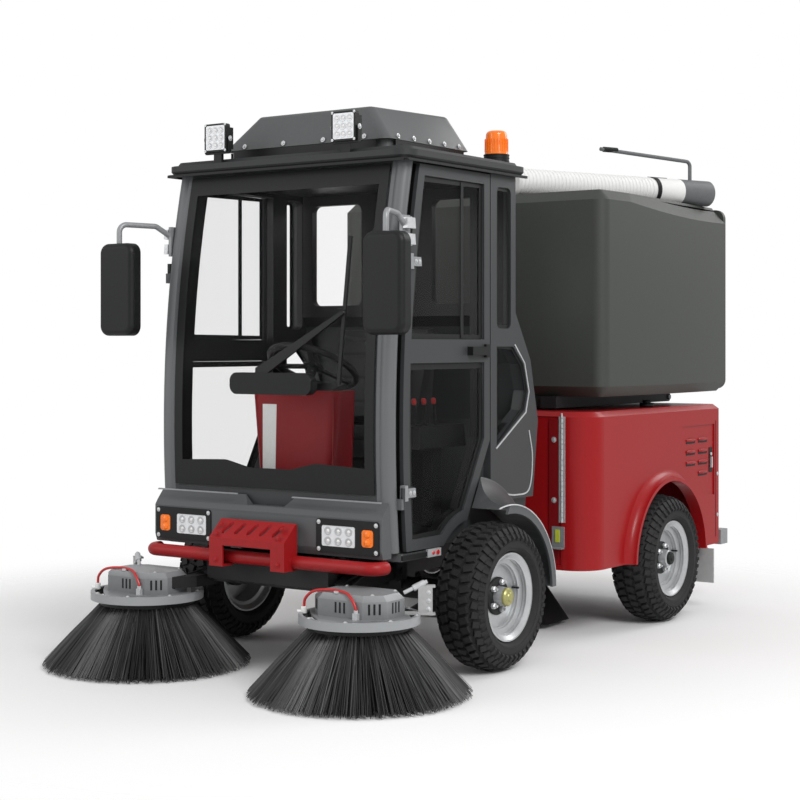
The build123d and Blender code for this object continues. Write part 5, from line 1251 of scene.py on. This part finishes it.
LOUVRES = (
    (0.291, 0.812), (0.291, 0.758), (0.291, 0.706), (0.425, 0.812), (0.425, 0.758), (0.425, 0.706),
    (0.425, 0.654),
)  # station from the rear axle, and height
LOUVRE_LENGTH = 0.096
RECESS_X = 0.694
BODY_X = 0.700
POST_X = 0.526
HINGE_X = 0.566
LATCH_Y = REAR + 0.515
COVER_EDGE_Y = REAR + 0.565
CAP_AT = (0.600, REAR + 0.02)
REAR_FACE = REAR + 0.6003
REAR_LAMP_X = 0.625


def make_louvre(slots, hoods, face, y, z):
    """A dark slot with an arched hood over it."""
    add_box(slots, (0.002, LOUVRE_LENGTH, 0.012), (face * (RECESS_X + 0.0008), y, z - 0.006))
    hood = []
    for k in range(7):
        x = RECESS_X + 0.004 * sin(pi * k / 6)
        hood.append(Vector((face * x, y - LOUVRE_LENGTH / 2 + LOUVRE_LENGTH * k / 6, z + 0.004)))
    add_tube(hoods, hood, lambda t: 0.003 + 0.0052 * sin(pi * min(max(t, 0.04), 0.96)) ** 0.4, 10)


def make_body_trim():
    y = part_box("body_shell")[0].y
    hinge, shaded_plates, bolts, slots, hoods, brackets, lime, caps = blanks(8)
    for face in (-1, 1):
        normal = (face, 0, 0)
        x = face * HINGE_X
        add_box(hinge, (0.030, 0.003, 0.455), (x, y - 0.001, 0.733))
        pin = 0.505
        while pin < 0.955:
            add_cylinder(hinge, (x, y - 0.0035, pin), UP, 0.0045, 0.020, 10, edge=0.0012)
            pin += 0.0225
        for k in range(6):
            for dx in (-0.010, 0.010):
                add_bolt(bolts, (x + dx, y - 0.0024, 0.53 + k * 0.08), AHEAD, 0.0028, 0.002)
        # painted shade: dark red plates where the body's front face lies in shade
        add_box(shaded_plates, (0.050, 0.004, 0.600), (face * POST_X, y + 0.002, 0.650))
        for z in (0.860, 0.600):
            add_bolt(bolts, (face * POST_X, y - 0.0002, z), AHEAD, 0.008, 0.005)
        add_box(brackets, (0.060, 0.006, 0.095), (face * 0.548, y - 0.002, 0.440))
        add_box(brackets, (0.060, 0.028, 0.006), (face * 0.548, y - 0.014, 0.396))
        add_box(lime, (0.020, 0.004, 0.055), (face * 0.546, y - 0.0065, 0.448))
        for dy, z in LOUVRES:
            make_louvre(slots, hoods, face, REAR + dy, z)
        # latch behind the louvres
        add_box(slots, (0.003, 0.034, 0.120), (face * (RECESS_X + 0.0012), LATCH_Y, 0.712))
        add_cylinder(bolts, (face * (RECESS_X + 0.002), LATCH_Y, 0.74), normal, 0.008, 0.005, 16)
        add_box(bolts, (0.010, 0.010, 0.052), (face * (RECESS_X + 0.006), LATCH_Y, 0.700))
        # line of the side cover's edge
        edge = [(face * (BODY_X + 0.0003), COVER_EDGE_Y, z) for z in (0.335, 0.90)]
        add_ribbon(slots, edge, normal, 0.004, 0.0008)
        for z in (0.64, 0.44):
            add_bolt(bolts, (face * BODY_X, REAR + 0.585, z), normal, 0.006, 0.004)
        cap_x, cap_y = CAP_AT
        add_cylinder(caps, (face * cap_x, cap_y, 0.9805), UP, 0.034, 0.018, 28)
        add_cylinder(caps, (face * cap_x, cap_y, 0.9980), UP, 0.020, 0.014, 20)
    new_pieces("rear_unit", (
        ("cover_hinges", hinge, ZINC),
        ("cover_posts_painted_shade", shaded_plates, SHADED_RED, "body_red"),
        ("body_bolts", bolts, ZINC),
        ("louvre_slots", slots, DARK, "black_plastic", False),
        ("louvre_hoods", hoods, RED),
        ("reflector_brackets", brackets, STEEL),
        ("front_reflectors", lime, REFLECTOR_LIME),
        ("filler_caps", caps, DARK),
    ))


def make_rear_lamps():
    frames, red, amber, clear = blanks(4)
    for face in (-1, 1):
        add_box(frames, (0.082, 0.018, 0.262), (face * REAR_LAMP_X, REAR_FACE + 0.008, 0.640), taper=0.97)
        for z, bm in ((0.722, amber), (0.640, red), (0.558, clear)):
            add_box(bm, (0.066, 0.010, 0.072), (face * REAR_LAMP_X, REAR_FACE + 0.0195, z))
    new_pieces("rear_unit", (
        ("rear_lamp_frames", frames, DARK),
        ("rear_lamp_red", red, REFLECTOR_RED),
        ("rear_lamp_amber", amber, AMBER),
        ("rear_lamp_clear", clear, LENS),
    ))


HOSE_SPAN = Vector((0.375, 0.915, 0)).normalized()


def make_hose_trim():
    """Grip of the handle rod, and the seam along the top of the hose."""
    grip, seam = blanks(2)
    low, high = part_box("hose_nozzle")
    start = Vector((low.x + 0.009, low.y + 0.009, high.z - 0.009))
    add_cylinder(grip, start + HOSE_SPAN * 0.012, HOSE_SPAN, 0.0125, 0.085, 14)
    low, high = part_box("suction_hose")
    radius = (high.z - low.z) / 2
    corner = Vector((low.x + radius * HOSE_SPAN.y, low.y + radius * HOSE_SPAN.x, high.z - 0.001))
    start = corner + HOSE_SPAN * 0.80
    add_tube(seam, [start, start + HOSE_SPAN * 0.12], 0.004, 8)
    new_pieces("hopper", (("handle_grip", grip, DARK), ("hose_seam", seam, PIPE_GREY)))


make_body_trim()
make_rear_lamps()
make_hose_trim()
